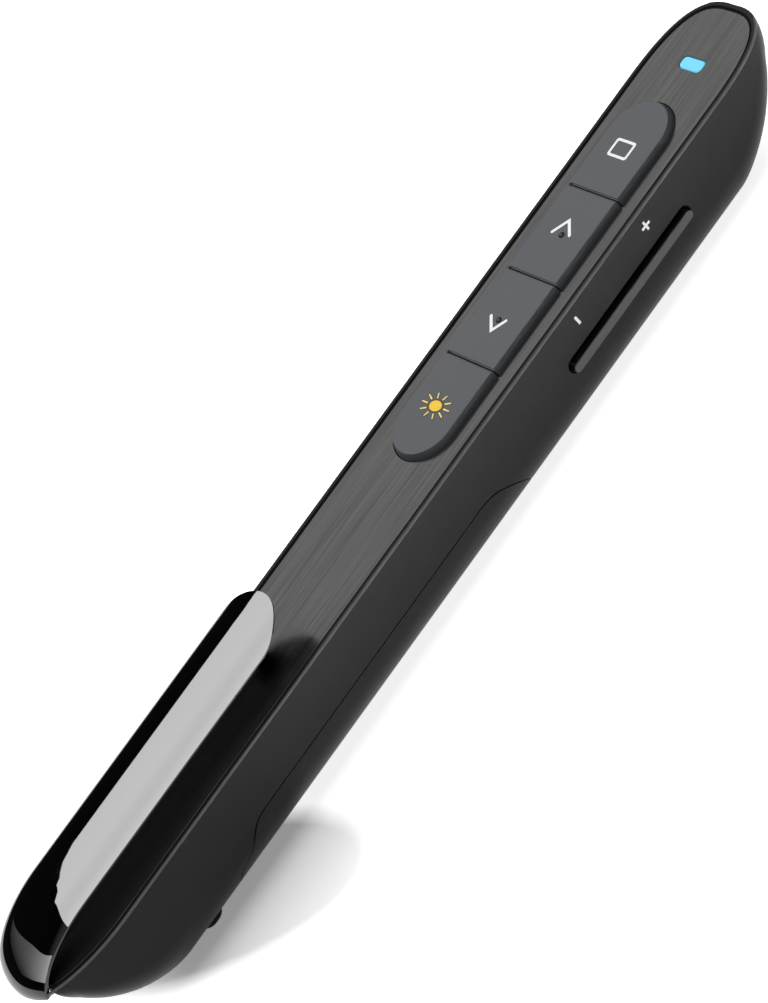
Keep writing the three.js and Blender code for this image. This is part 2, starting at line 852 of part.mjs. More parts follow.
function rockerPinCut() {
  const reach = rockerBeamHeight / 2 + fitGap + lugHeight + fitGap;
  const radius = rockerPinRadius + runGap;
  return bar('z', rockerZ - reach, rockerZ + reach, radius, rockerX, rockerPivotY, smallRoundSteps);
}

// Two ribs with round seats for the laser barrel
function laserCradles() {
  const rear = barrelRear + cradleInset;
  const front = barrelRear + barrelLength - cradleInset - cradleThickness;
  const ribs = [rear, front].map((x) => midBox(x, x + cradleThickness, bodyWidth, 0, boardBottom - fitGap));
  const seatFront = barrelRear + barrelLength + overrun;
  const seat = bar('x', barrelRear - overrun, seatFront, barrelRadius + runGap, 0, laserZ);
  return ribs[0].add(ribs[1]).intersect(innerForm(wall - fuse)).subtract(seat);
}

// Ears inside the tail that hold the clip's pin
function clipEars() {
  const inner = clipWebWidth / 2 + fitGap;
  const reach = clipKnuckleRadius;
  const ears = [-1, 1].map((side) => box(
    clipPinX - reach,
    clipPinX + reach,
    side < 0 ? -inner - clipEarWidth : inner,
    side < 0 ? -inner : inner + clipEarWidth,
    clipPinZ - reach,
    clipPinZ + reach,
  ));
  const side = bodyWidth / 2;
  const pin = bar('y', -side, side, clipPinRadius + runGap, clipPinX, clipPinZ, smallRoundSteps);
  const inside = bodyForm(wall / 2, cavityRear, cavityFront, bodyHeight);
  return ears[0].add(ears[1]).intersect(inside).subtract(pin);
}

// Way through the tail wall for the clip's web and pin
function clipCut() {
  const half = clipWebWidth / 2 + fitGap;
  const web = prismY(clipWebOutline(fitGap, clipSwingRoom + fitGap), -half, half);
  const knuckle = bar('y', -half, half, clipKnuckleRadius + fitGap, clipPinX, clipPinZ);
  const reach = clipPinLength / 2 + runGap;
  const pin = bar('y', -reach, reach, clipPinRadius + runGap, clipPinX, clipPinZ, smallRoundSteps);
  return web.add(knuckle).add(pin);
}

// Posts that carry the power switch's board
function switchPosts() {
  const posts = [-1, 1].map((side) => box(
    powerBoardRear,
    powerBoardRear + postLength,
    side < 0 ? -postInset - postWidth : postInset,
    side < 0 ? -postInset : postInset + postWidth,
    wall / 2,
    powerBoardBottom - seatGap,
  ));
  return posts[0].add(posts[1]);
}

// Slot in the underside for the power switch's knob and stem
function knobCut() {
  return midBox(
    knobX - knobStemLength / 2 - fitGap,
    knobX + knobTravel + knobStemLength / 2 + fitGap,
    knobStemWidth + 2 * fitGap,
    -overrun,
    wall + fitGap,
  );
}

function addBatteryCover() {
  const skin = bodyForm(0, bodyRearEnd, bodyFrontEnd, bodyHeight);
  const hollow = bodyForm(wall, cavityRear, cavityFront, bodyHeight + overrun);
  let cover = skin.subtract(hollow).intersect(prismY(coverOutline(0), -bodyWidth, bodyWidth));
  const lipOuter = innerHalf - coverGap;
  const lipStarts = [
    coverRear + coverRearCurve + coverLipInset,
    coverFront - coverFrontCurve - coverLipInset - coverLipLength,
  ];
  for (const x of lipStarts) {
    for (const side of [-1, 1]) {
      const near = side * (lipOuter - coverLipThickness);
      const lip = box(
        x,
        x + coverLipLength,
        Math.min(near, side * lipOuter),
        Math.max(near, side * lipOuter),
        partingHeight - coverLipHeight,
        partingHeight + coverLipHeight,
      );
      const root = box(
        x,
        x + coverLipLength,
        Math.min(near, side * (innerHalf + fuse)),
        Math.max(near, side * (innerHalf + fuse)),
        partingHeight - coverLipHeight,
        partingHeight - coverLipHeight / 3,
      );
      cover = cover.add(lip).add(root);
    }
  }
  addPiece('battery_cover', cover, shellBlack);
}

function addTopPlate() {
  const outline = planOutline(rimWidth + plateGroove);
  let plate = prismZ(outline, plateBottom, plateTop);
  plate = plate.subtract(prismZ(padOutline(padFlare + fitGap), plateBottom - overrun, plateTop + overrun));
  plate = plate.subtract(prismZ(lightOutline(runGap), plateBottom - overrun, plateTop + overrun));
  addPiece('top_plate', plate.subtract(clipTailCut()).subtract(clipCut()), brushedMetal);
}

function lightOutline(gap) {
  return roundedOutline(lightX, 0, lightLength + 2 * gap, lightWidth + 2 * gap, lightCorner + gap);
}

function addCarrierFrame() {
  const inset = wall + fitGap;
  let frame = bodyForm(inset, frameRear, frameFront, frameTop);
  frame = frame.intersect(midBox(-tailTip, noseTip, bodyWidth, frameBottom, frameTop));
  const keyRoom = padFlare + keyFlange + fitGap;
  frame = frame.subtract(prismZ(padOutline(keyRoom), frameBottom - overrun, frameTop + overrun));
  const lightRoom = lightOutline(lightFlange + fitGap);
  frame = frame.subtract(prismZ(lightRoom, frameBottom - overrun, frameTop + overrun));
  for (const [x, y] of screwPlaces()) {
    frame = frame.add(bar('z', deckTop + seatGap, frameTop - bossFloor, bossRadius, x, y));
    frame = frame.subtract(bar(
      'z',
      deckTop - overrun,
      frameTop - bossFloor,
      screwRadius + runGap,
      x,
      y,
      smallRoundSteps,
    ));
  }
  addPiece('carrier_frame', frame, innerBlack);
}

function addFrameScrews() {
  const names = ['frame_screw_front', 'frame_screw_rear'];
  screwPlaces().forEach(([x, y], i) => {
    const headTop = deckBottom - seatGap;
    const headBottom = headTop - screwHeadHeight;
    const head = bar('z', headBottom, headTop, screwHeadRadius, x, y);
    const tip = frameTop - bossFloor - seatGap;
    const shank = bar('z', headTop - fuse, tip, screwRadius, x, y, smallRoundSteps);
    const half = screwDriveLength / 2;
    const slot = screwDriveWidth / 2;
    const deep = headBottom + screwDriveDepth;
    const driveX = box(x - half, x + half, y - slot, y + slot, headBottom - overrun, deep);
    const driveY = box(x - slot, x + slot, y - half, y + half, headBottom - overrun, deep);
    addPiece(names[i], head.add(shank).subtract(driveX.add(driveY)), plainSteel);
  });
}

function addKeys() {
  const padTop = bodyHeight + padRise;
  const flangeTop = plateBottom - keyFlangeGap;
  const atHeight = (outline, z) => outline.map(([x, y]) => [x, y, z]);
  const cap = loft([atHeight(padOutline(padFlare), plateTop), atHeight(padOutline(0), padTop)]);
  const skirt = prismZ(padOutline(padFlare), flangeTop - fuse, plateTop + sliver);
  const flange = prismZ(padOutline(padFlare + keyFlange), flangeTop - keyFlangeThickness, flangeTop);
  const pad = cap.add(skirt).add(flange);
  const hollow = prismZ(padOutline(-keyWall), flangeTop - overrun, padTop - keyRoof);
  keyNames.forEach((name, i) => {
    const [start, end] = keyRange(i);
    const slice = midBox(start, end, bodyWidth, 0, padTop + overrun);
    const room = midBox(start + keyWall, end - keyWall, bodyWidth, 0, padTop + overrun);
    const stem = bar(
      'z',
      boardTop + switchHeight + buttonRise + seatGap,
      padTop - keyRoof + fuse,
      keyStemRadius,
      keyMiddle(i),
      0,
    );
    addPiece(name, pad.intersect(slice).subtract(hollow.intersect(room)).add(stem), keyGrey);
  });
}

function addKeySwitches() {
  keyNames.forEach((name, i) => {
    const x = keyMiddle(i);
    const half = switchSize / 2;
    const top = boardTop + switchHeight;
    const body = box(x - half, x + half, -half, half, boardTop + seatGap, top);
    const hole = bar('z', boardTop + switchFloor, top + overrun, buttonRadius + runGap, x, 0);
    addPiece(`${name}_switch`, body.subtract(hole), plainSteel);
    const low = boardTop + switchFloor + keyTravel + seatGap;
    addPiece(`${name}_switch_button`, bar('z', low, top + buttonRise, buttonRadius, x, 0), chipBlack);
  });
}

function addStatusLight() {
  const flangeTop = plateBottom - seatGap;
  const flangeLow = flangeTop - lightFlangeThickness;
  const window = prismZ(lightOutline(0), flangeLow, plateTop);
  const flange = prismZ(lightOutline(lightFlange), flangeLow, flangeTop);
  addPiece('status_light_window', window.add(flange), lightBlue);
  const led = midBox(
    lightX - ledLength / 2,
    lightX + ledLength / 2,
    ledWidth,
    boardTop + seatGap,
    boardTop + seatGap + ledHeight,
  );
  addPiece('status_led', led, ledWhite);
}

function addMainBoard() {
  const half = boardWidth / 2;
  const tail = boardTailWidth / 2;
  const outline = [
    [boardRear, -tail],
    [boardStep, -tail],
    [boardStep, -half],
    [boardFront, -half],
    [boardFront, half],
    [boardStep, half],
    [boardStep, tail],
    [boardRear, tail],
  ];
  addPiece('main_board', prismZ(outline, boardBottom, boardTop), boardGreen);
  const chipTop = boardBottom - seatGap;
  const chipHalf = chipSize / 2;
  addPiece(
    'radio_chip',
    midBox(chipX - chipHalf, chipX + chipHalf, chipSize, chipTop - chipHeight, chipTop),
    chipBlack,
  );
  const crystalHalf = crystalLength / 2;
  addPiece(
    'crystal',
    midBox(crystalX - crystalHalf, crystalX + crystalHalf, crystalWidth, chipTop - crystalHeight, chipTop),
    plainSteel,
  );
}

function addRocker() {
  const outer = -bodyWidth / 2 - rockerProud;
  const beamOuter = -innerHalf + rockerBeamInset;
  const beamInner = beamOuter + rockerBeamThickness;
  const lever = prismY(
    roundedOutline(rockerX, rockerZ, rockerLength, rockerHeight, rockerHeight / 2),
    outer,
    beamOuter + fuse,
  );
  const beam = box(
    rockerX - rockerBeamLength / 2,
    rockerX + rockerBeamLength / 2,
    beamOuter,
    beamInner,
    rockerZ - rockerBeamHeight / 2,
    rockerZ + rockerBeamHeight / 2,
  );
  const low = rockerZ - rockerBeamHeight / 2;
  const high = rockerZ + rockerBeamHeight / 2;
  const boss = bar('z', low, high, rockerBossRadius, rockerX, rockerPivotY);
  const bore = rockerPinRadius + runGap;
  const hole = bar('z', low - overrun, high + overrun, bore, rockerX, rockerPivotY, smallRoundSteps);
  let rocker = lever.add(beam).add(boss);
  const legTip = volumeSwitchY - volumeDomeRise - rockerLegGap;
  for (const side of [-1, 1]) {
    const x = rockerX + side * rockerLegOffset;
    const half = rockerLegWidth / 2;
    const leg = box(x - half, x + half, beamInner - fuse, legTip, rockerZ - half, rockerZ + half);
    rocker = rocker.add(leg);
  }
  addPiece('volume_rocker', rocker.subtract(hole), shellBlack);
  const pinReach = rockerBeamHeight / 2 + fitGap + lugHeight;
  const pinLow = rockerZ - pinReach;
  const pinHigh = rockerZ + pinReach;
  addPiece(
    'rocker_pin',
    bar('z', pinLow, pinHigh, rockerPinRadius, rockerX, rockerPivotY, smallRoundSteps),
    plainSteel,
  );
}

// Upright board behind the rocker with one domed switch for each end
function addVolumeSwitches() {
  const boardFace = volumeSwitchY + volumeSwitchHeight;
  const board = box(
    rockerX - volumeBoardLength / 2,
    rockerX + volumeBoardLength / 2,
    boardFace + seatGap,
    boardFace + seatGap + boardThickness,
    boardBottom - seatGap - volumeBoardHeight,
    boardBottom - seatGap,
  );
  addPiece('volume_board', board, boardGreen);
  const names = ['volume_down_switch', 'volume_up_switch'];
  names.forEach((name, i) => {
    const x = rockerX + (2 * i - 1) * rockerLegOffset;
    const half = volumeSwitchSize / 2;
    const body = box(x - half, x + half, volumeSwitchY, boardFace, rockerZ - half, rockerZ + half);
    const dome = bar(
      'y',
      volumeSwitchY - volumeDomeRise,
      volumeSwitchY + fuse,
      volumeDomeRadius,
      x,
      rockerZ,
      smallRoundSteps,
    );
    addPiece(name, body.add(dome), plainSteel);
  });
}

// Domed knob under the pen, flat in the middle, with a stem up into the switch
function addPowerSwitch() {
  const loops = [];
  const flatAngle = Math.acos(Math.pow(knobFlatShare, knobPower / 2));
  const domeHeight = knobProud / Math.pow(Math.sin(flatAngle), 2 / knobPower);
  for (let i = 0; i <= knobSteps; i += 1) {
    const angle = flatAngle * (i / knobSteps);
    const grow = Math.pow(Math.cos(angle), 2 / knobPower);
    const z = -seatGap - domeHeight * Math.pow(Math.sin(angle), 2 / knobPower);
    const corner = (knobLength / 2) * grow * bellyRadiusShare;
    const points = roundedOutline(knobX, 0, knobLength * grow, knobWidth * grow, corner);
    loops.push(points.map(([x, y]) => [x, y, z]));
  }
  const cheeks = prismZ(
    roundedOutline(knobX, 0, knobLength, knobWidth, (knobLength / 2) * bellyRadiusShare),
    -seatGap - sliver,
    wall,
  ).subtract(bodyForm(-seatGap, bodyRearEnd, bodyFrontEnd, bodyHeight));
  const stem = midBox(
    knobX - knobStemLength / 2,
    knobX + knobStemLength / 2,
    knobStemWidth,
    -knobProud / 2,
    powerBodyBottom + powerSlotDepth - fitGap,
  );
  addPiece('power_switch_knob', loft(loops.reverse()).add(cheeks).add(stem), shellBlack);
  const body = midBox(
    powerBodyX - powerBodyLength / 2,
    powerBodyX + powerBodyLength / 2,
    powerBodyWidth,
    powerBodyBottom,
    powerBodyBottom + powerBodyHeight,
  );
  const slot = midBox(
    knobX - knobStemLength / 2 - fitGap,
    knobX + knobTravel + knobStemLength / 2 + fitGap,
    knobStemWidth + 2 * fitGap,
    powerBodyBottom - overrun,
    powerBodyBottom + powerSlotDepth,
  );
  addPiece('power_switch_body', body.subtract(slot), plainSteel);
  const powerBoardTop = powerBoardBottom + boardThickness;
  addPiece(
    'power_board',
    midBox(powerBoardRear, powerBoardFront, powerBoardWidth, powerBoardBottom, powerBoardTop),
    boardGreen,
  );
}

// Film strip that joins the power switch's board to the main board
function addSwitchRibbon() {
  const low = powerBoardBottom + boardThickness + seatGap;
  const high = boardBottom - seatGap;
  const rear = boardRear + seatGap;
  const front = rear + ribbonFoot;
  const film = ribbonThickness;
  const outline = [
    [rear, low],
    [front, low],
    [front, low + film],
    [rear + film, low + film],
    [rear + film, high - film],
    [front, high - film],
    [front, high],
    [rear, high],
  ];
  addPiece('switch_ribbon', prismY(outline, -ribbonWidth / 2, ribbonWidth / 2), filmAmber);
}

function addBattery() {
  const shoulder = batteryFront - batteryNubLength;
  const bevel = batteryEndBevel;
  addPiece('battery', turnedX([
    [0, batteryRear],
    [batteryRadius - bevel, batteryRear],
    [batteryRadius, batteryRear + bevel],
    [batteryRadius, shoulder - bevel],
    [batteryRadius - bevel, shoulder],
    [batteryNubRadius, shoulder],
    [batteryNubRadius, batteryFront],
    [0, batteryFront],
  ], 0, batteryZ, roundSteps + endSteps), cellSleeve);
}

// Conical coil, wound as one tube
class SpringCurve extends THREE.Curve {
  getPoint(t) {
    const angle = 2 * Math.PI * springTurns * t;
    const radius = springWide + (springNarrow - springWide) * t;
    return new THREE.Vector3(
      springRear + springWire + (springLength - 2 * springWire) * t,
      radius * Math.cos(angle),
      batteryZ + radius * Math.sin(angle),
    );
  }
}

function addBatterySpring() {
  const wire = new THREE.Shape();
  for (let i = 0; i < springSides; i += 1) {
    const angle = (2 * Math.PI * i) / springSides;
    const point = [springWire * Math.cos(angle), springWire * Math.sin(angle)];
    if (i === 0) {
      wire.moveTo(...point);
    } else {
      wire.lineTo(...point);
    }
  }
  const geometry = new THREE.ExtrudeGeometry(wire, {
    steps: Math.round(springTurns * springStepsPerTurn),
    extrudePath: new SpringCurve(),
    bevelEnabled: false,
  });
  addPiece('battery_spring', solidOf(geometry), plainSteel);
}

// Flat contact with a tab up through the deck to the board
function contactPlate(rear) {
  const top = deckBottom - fitGap;
  const low = batteryZ - contactDrop;
  const plate = midBox(rear, rear + contactThickness, contactWidth, low, top);
  const tab = midBox(rear, rear + contactThickness, contactTabWidth, top - fuse, boardBottom - seatGap);
  return plate.add(tab);
}

function addContacts() {
  addPiece('negative_contact', contactPlate(bayRear + seatGap), plainSteel);
  addPiece('positive_contact', contactPlate(positiveRear), plainSteel);
}

function addReceiver() {
  const frame = new THREE.Matrix4().makeBasis(axisY, axisZ, axisX).setPosition(receiverRear, 0, 0);
  const outline = roundedOutline(0, receiverZ, receiverCapWidth, receiverCapHeight, receiverCapCorner);
  addPiece('usb_receiver_cap', extruded(outline, receiverCapLength, frame), chipBlack);
  const start = receiverShoulder + seatGap;
  const half = receiverPlugHeight / 2;
  const end = start + receiverPlugLength;
  const plug = midBox(start, end, receiverPlugWidth, receiverZ - half, receiverZ + half);
  addPiece('usb_receiver_plug', plug, plainSteel);
}

function addLaser() {
  const rear = barrelRear;
  const front = barrelRear + barrelLength;
  const barrel = turnedX([
    [barrelBore, rear],
    [barrelRadius, rear],
    [barrelRadius, front],
    [barrelBore, front],
    [barrelBore, rear],
  ], 0, laserZ);
  addPiece('laser_barrel', barrel, brass);
  const flangeFront = rear - seatGap;
  const flangeRear = flangeFront - diodeFlangeThickness;
  let diode = turnedX([
    [0, flangeRear],
    [diodeFlangeRadius, flangeRear],
    [diodeFlangeRadius, flangeFront],
    [diodeCanRadius, flangeFront],
    [diodeCanRadius, flangeFront + diodeCanLength],
    [0, flangeFront + diodeCanLength],
  ], 0, laserZ);
  for (let i = 0; i < 3; i += 1) {
    const angle = (2 * Math.PI * i) / 3;
    diode = diode.add(bar(
      'x',
      flangeRear - diodeLegLength,
      flangeRear + fuse,
      diodeLegRadius,
      diodeLegCircle * Math.sin(angle),
      laserZ + diodeLegCircle * Math.cos(angle),
      smallRoundSteps / 2,
    ));
  }
  addPiece('laser_diode', diode, goldLead);
  const lensFront = front - lensInset;
  const lensRear = lensFront - lensBulge - lensThickness;
  const profile = [[0, lensRear], [lensRadius, lensRear]];
  for (let i = 0; i < lensSteps; i += 1) {
    const angle = (Math.PI / 2) * (i / lensSteps);
    profile.push([lensRadius * Math.cos(angle), lensFront - lensBulge * (1 - Math.sin(angle))]);
  }
  profile.push([0, lensFront]);
  addPiece('laser_lens', turnedX(profile, 0, laserZ), glassClear);
  const ring = bar('x', apertureRear, noseTip, apertureRadius, 0, laserZ);
  const bore = bar('x', apertureRear - overrun, noseTip + overrun, apertureBore, 0, laserZ);
  const skin = bodyForm(0, bodyRearEnd, bodyFrontEnd, bodyHeight);
  addPiece('aperture_ring', ring.subtract(bore).intersect(skin), plainSteel);
}

function addPocketClip() {
  const half = clipWebWidth / 2;
  const web = prismY(clipWebOutline(0, 0), -half, half);
  const knuckle = bar('y', -half, half, clipKnuckleRadius, clipPinX, clipPinZ);
  const underside = clipRim + clipArch - clipThickness;
  const depth = underside - plateTop - clipPadGap;
  const pad = new THREE.SphereGeometry(1, roundSteps, roundSteps / 2);
  pad.scale(clipPadLength / 2, clipPadWidth / 2, depth);
  pad.translate(clipPadX, 0, underside);
  const padTop = underside + fuse;
  const padSpace = midBox(clipPadX - clipPadLength, clipPadX + clipPadLength, bodyWidth, plateTop, padTop);
  let clip = clipBlade().add(web).add(knuckle).add(solidOf(pad).intersect(padSpace));
  clip = clip.subtract(bar(
    'y',
    -bodyWidth,
    bodyWidth,
    clipPinRadius + runGap,
    clipPinX,
    clipPinZ,
    smallRoundSteps,
  ));
  addPiece('pocket_clip', clip, glossBlack);
  const reach = clipPinLength / 2;
  const pin = bar('y', -reach, reach, clipPinRadius, clipPinX, clipPinZ, smallRoundSteps);
  addPiece('clip_pin', pin, plainSteel);
}

addHousing();
addBatteryCover();
addTopPlate();
addCarrierFrame();
addFrameScrews();
addKeys();
addKeySwitches();
addStatusLight();
addMainBoard();
addRocker();
addVolumeSwitches();
addPowerSwitch();
addSwitchRibbon();
addBattery();
addBatterySpring();
addContacts();
addReceiver();
addLaser();
addPocketClip();

export default part;
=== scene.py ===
import math
from collections import namedtuple

import bmesh
import bpy
from mathutils import Matrix, Vector


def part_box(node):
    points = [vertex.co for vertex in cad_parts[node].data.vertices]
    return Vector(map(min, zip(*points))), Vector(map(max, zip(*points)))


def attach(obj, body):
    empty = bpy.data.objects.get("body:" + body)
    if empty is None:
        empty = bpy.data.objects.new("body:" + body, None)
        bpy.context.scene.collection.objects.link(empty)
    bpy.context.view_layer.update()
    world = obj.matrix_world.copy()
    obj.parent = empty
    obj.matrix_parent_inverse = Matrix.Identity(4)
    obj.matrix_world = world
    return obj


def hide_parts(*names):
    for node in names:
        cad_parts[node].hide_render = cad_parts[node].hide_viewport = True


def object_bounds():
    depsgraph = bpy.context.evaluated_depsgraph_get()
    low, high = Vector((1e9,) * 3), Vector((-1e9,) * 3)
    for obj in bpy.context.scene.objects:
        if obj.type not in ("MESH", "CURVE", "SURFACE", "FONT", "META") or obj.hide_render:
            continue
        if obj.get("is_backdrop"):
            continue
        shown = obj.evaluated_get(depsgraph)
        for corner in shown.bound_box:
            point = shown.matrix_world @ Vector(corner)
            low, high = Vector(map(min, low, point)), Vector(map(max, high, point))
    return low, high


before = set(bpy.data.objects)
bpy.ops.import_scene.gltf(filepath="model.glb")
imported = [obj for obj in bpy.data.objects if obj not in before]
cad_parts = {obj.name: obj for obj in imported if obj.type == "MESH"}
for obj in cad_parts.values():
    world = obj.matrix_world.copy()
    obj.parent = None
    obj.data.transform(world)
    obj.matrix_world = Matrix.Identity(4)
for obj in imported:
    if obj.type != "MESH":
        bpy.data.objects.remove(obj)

CAD_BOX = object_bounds()
MM = 0.001
WELD = 0.0002
SMOOTH_ANGLE = math.radians(32)

# Body: width, height and the D-shaped section
HALF = 8.5
HEIGHT = 15.8
BELLY_RADIUS = 7.3
BELLY_SHARE = 0.86
WALL = 1.3
DETAIL_INSET = 1.25

# Body: plan and side curves of its two ends, as superellipses
End = namedtuple("End", "tip plan_length plan_power chin depth_length depth_power lip")
NOSE = End(
    tip=76.6, plan_length=15.1, plan_power=2.87, chin=75.8, depth_length=16.6, depth_power=1.5, lip=1.0
)
TAIL = End(
    tip=77.9, plan_length=16.3, plan_power=2.05, chin=74.0, depth_length=14.1, depth_power=1.82, lip=0.8
)
END_STEPS = 22
LEAST_STATION_GAP = 0.02

# Rim round the top plate
RIM_WIDTH = 0.7
RIM_OUTER_FILLET = 0.24
RIM_INNER_FILLET = 0.08
RIM_FILLET_SHARE = 0.9
RIM_LEDGE_WIDTH = 0.25
RIM_LEDGE = 15.5
FRAME_TOP = 15.1
PLATE_GROOVE = 0.33
PLATE_BOTTOM = 15.15
PLATE_TOP = 15.65
PLATE_FILLET = 0.07
PLATE_FILLET_STEPS = 3

# Fillet and corner steps
FILLET_STEPS = 4
CORNER_STEPS = 16
FORM_CORNER_STEPS = 12
LOOP_STEPS = 8
FINE_LOOP_STEPS = 12
CURVE_STEPS = 6
FIT_GAP = 0.3
RUN_GAP = 0.12
OVERRUN = 2.0

# Battery cover's outline seen from the side, as shares of its end curves
PARTING_HEIGHT = 7.9
COVER_GAP = 0.15
COVER_FRONT_CURVE = 8.0
COVER_REAR_CURVE = 9.0
COVER_FRONT_SHARES = (
    (0, 1), (0.1, 0.985), (0.24, 0.955), (0.38, 0.89),
    (0.56, 0.76), (0.79, 0.53), (0.93, 0.27), (1, 0),
)
COVER_REAR_SHARES = (
    (0, 1), (0.12, 0.985), (0.25, 0.93), (0.41, 0.79),
    (0.53, 0.66), (0.7, 0.57), (0.9, 0.44), (1, 0),
)

# Pocket clip
CLIP_HALF = 5.65
CLIP_FOOT_HALF = 4.9
CLIP_THICKNESS = 0.85
CLIP_EDGE = 0.22
CLIP_ARCH = 1.15
CLIP_ARCH_POWER = 5.5
CLIP_RIM = HEIGHT + 4.3
CLIP_FOOT = HEIGHT - 0.8
CLIP_FRONT = -20.0
CLIP_NOSE_LENGTH = 7.0
CLIP_BEND_START = -63.5
CLIP_BEND_REACH = 13.1
CLIP_BEND_POWER = 1.9
CLIP_CROWN = 1.5
CLIP_ACROSS = 28
CLIP_NOSE_STEPS = 20
CLIP_ARM_STEPS = 24
CLIP_BEND_STEPS = 40
CLIP_PIN = (-71.2, 12.4)
CLIP_PIN_RADIUS = 0.7
CLIP_PIN_LENGTH = 10.6
CLIP_KNUCKLE_RADIUS = 1.5
CLIP_WEB_HALF = 2.2
CLIP_WEB_THICKNESS = 0.9
CLIP_WEB_RISE = 0.15
CLIP_SWING_ROOM = 0.5
CLIP_PAD = (-26.3, 5.0, 8.0)
CLIP_PAD_GAP = 0.35
CLIP_PAD_STEPS = 12

# Keys
PAD_REAR = 4.6
PAD_FRONT = 60.1
PAD_HALF = 4.75
PAD_END = 5.0
PAD_TOP = HEIGHT + 0.8
PAD_FLARE = 0.4
KEY_SPLITS = (19.0, 32.35, 45.7)
KEY_SPLIT_GAP = 0.5
KEY_CORNER = 0.08
KEY_FILLET = 0.07
KEY_EAR = 0.55
KEY_EAR_GAP = 0.08
KEY_LEDGE = 0.15
KEY_LEDGE_DEPTH = 0.16
KEY_WALL = 0.9
KEY_ROOF = 0.8
KEY_FLANGE = 0.7
KEY_FLANGE_TOP = PLATE_BOTTOM - 0.2
KEY_FLANGE_THICKNESS = 0.65
KEY_STEM_RADIUS = 1.2
KEY_STEM_BOTTOM = 15.2
KEYS = ("laser_key", "previous_key", "next_key", "blank_screen_key")

# Symbols on the keys and on the side
SYMBOL_SINK = 0.02
SYMBOL_RISE = 0.035
SQUARE = (51.1, 53.85, -1.67, 2.0)
SQUARE_STROKE = 0.38
SQUARE_CORNER = 0.42
CHEVRON_STROKE = 0.44
CAP_STEPS = 8
LEAST_MITRE = 0.2
UP_CHEVRON = ((38.84, 1.62), (41.05, 0.21), (39.16, -1.53))
UP_NUB = (38.88, -0.19)
DOWN_CHEVRON = ((25.55, 1.59), (23.73, -0.1), (25.64, -1.32))
DOWN_NUB = (25.38, -0.09)
NUB_RADIUS = 0.43
NUB_RISE = 0.3
NUB_STEPS = 9
NUB_ROUND_STEPS = 24
SUN = (11.87, 0.0)
SUN_REACH = (0.76, 1.1)
SUN_RAYS = 10
SUN_FIRST_RAY = math.radians(-52)
SUN_RAY_SHARES = (1.42, 2.45)
SUN_RAY_WIDTH = 0.3
SUN_RAY_TAPER = (0.8, 0.6)
SUN_EDGE_SHADE = 0.15
PLUS = (45.16, 13.45)
MINUS = (30.33, 13.42)
PLUS_REACH = 0.74
PLUS_STROKE = 0.34
MINUS_REACH = 0.68
MINUS_STROKE = 0.38

# Status light
LIGHT_X = 66.95
LIGHT_HALF_LENGTH = 0.85
LIGHT_HALF_WIDTH = 1.975
LIGHT_CORNER = 0.6
LIGHT_FLANGE = 0.5
LIGHT_FLANGE_TOP = PLATE_BOTTOM - 0.05
LIGHT_BOTTOM = LIGHT_FLANGE_TOP - 0.7
LIGHT_FILLET = 0.1

# Volume rocker
ROCKER = (38.1, 9.3)
ROCKER_HALF_LENGTH = 12.65
ROCKER_BAR_DROP = 0.15
ROCKER_HALF_HEIGHT = 0.68
ROCKER_PROUD = 0.7
ROCKER_FILLET = 0.14
ROCKER_ROOT = -6.4
ROCKER_JOIN = -6.9
ROCKER_SLOT_HALF_LENGTH = 13.015
ROCKER_SLOT_HALF_HEIGHT = 1.15
ROCKER_SLOT_DEPTH = 2.6
ROCKER_SLOT_FILLET = 0.05

# Power knob under the tail
KNOB_X = -55.1
KNOB_HALF_LENGTH = 1.85
KNOB_HALF_WIDTH = 3.8
KNOB_PROUD = 1.7
KNOB_POWER = 3.4
KNOB_FLAT_SHARE = 0.55
KNOB_STEPS = 18
KNOB_TRAVEL = 2.0
KNOB_STEM_HALF = 0.75
KNOB_STEM_TOP = 3.3
SEAT_GAP = 0.05

# Laser exit
LASER_Z = 9.35
APERTURE_REAR = 70.0
APERTURE_RADIUS = 2.1
APERTURE_BORE = 1.2
APERTURE_CHAMFER = 0.35
ROUND_STEPS = 64

WHITE = (1, 1, 1, 1)


# Mesh helpers, all in millimetres

def mesh_of(points, faces):
    """Welded mesh with its faces pointing out."""
    work = bmesh.new()
    corners = [work.verts.new(point) for point in points]
    for face in faces:
        work.faces.new([corners[i] for i in face])
    bmesh.ops.remove_doubles(work, verts=work.verts, dist=WELD)
    bmesh.ops.dissolve_degenerate(work, edges=work.edges, dist=WELD)
    bmesh.ops.recalc_face_normals(work, faces=work.faces)
    mesh = bpy.data.meshes.new("work")
    work.to_mesh(mesh)
    work.free()
    return mesh


def skin_rows(rows, capped=True, looped=False):
    """Mesh from rows of points with the same count; each row is a closed loop."""
    count = len(rows[0])
    points = [point for row in rows for point in row]
    faces = []
    last = len(rows) if looped else len(rows) - 1
    for i in range(last):
        for j in range(count):
            a = i * count
            b = ((i + 1) % len(rows)) * count
            k = (j + 1) % count
            faces.append((a + j, a + k, b + k, b + j))
    if capped and not looped:
        faces.append(tuple(range(count)))
        faces.append(tuple(range((len(rows) - 1) * count, len(rows) * count)))
    return mesh_of(points, faces)


def boolean(first, second, operation):
    """Joins, cuts or intersects two meshes, which are both used up."""
    holders = []
    for mesh in (first, second):
        holder = bpy.data.objects.new("work", mesh)
        bpy.context.scene.collection.objects.link(holder)
        holders.append(holder)
    modifier = holders[0].modifiers.new("boolean", "BOOLEAN")
    modifier.operation = operation
    modifier.solver = "MANIFOLD"
    modifier.object = holders[1]
    depsgraph = bpy.context.evaluated_depsgraph_get()
    made = bpy.data.meshes.new_from_object(holders[0].evaluated_get(depsgraph))
    for holder, mesh in zip(holders, (first, second)):
        bpy.data.objects.remove(holder)
        bpy.data.meshes.remove(mesh)
    return made


def joined(first, second):
    return boolean(first, second, "UNION")


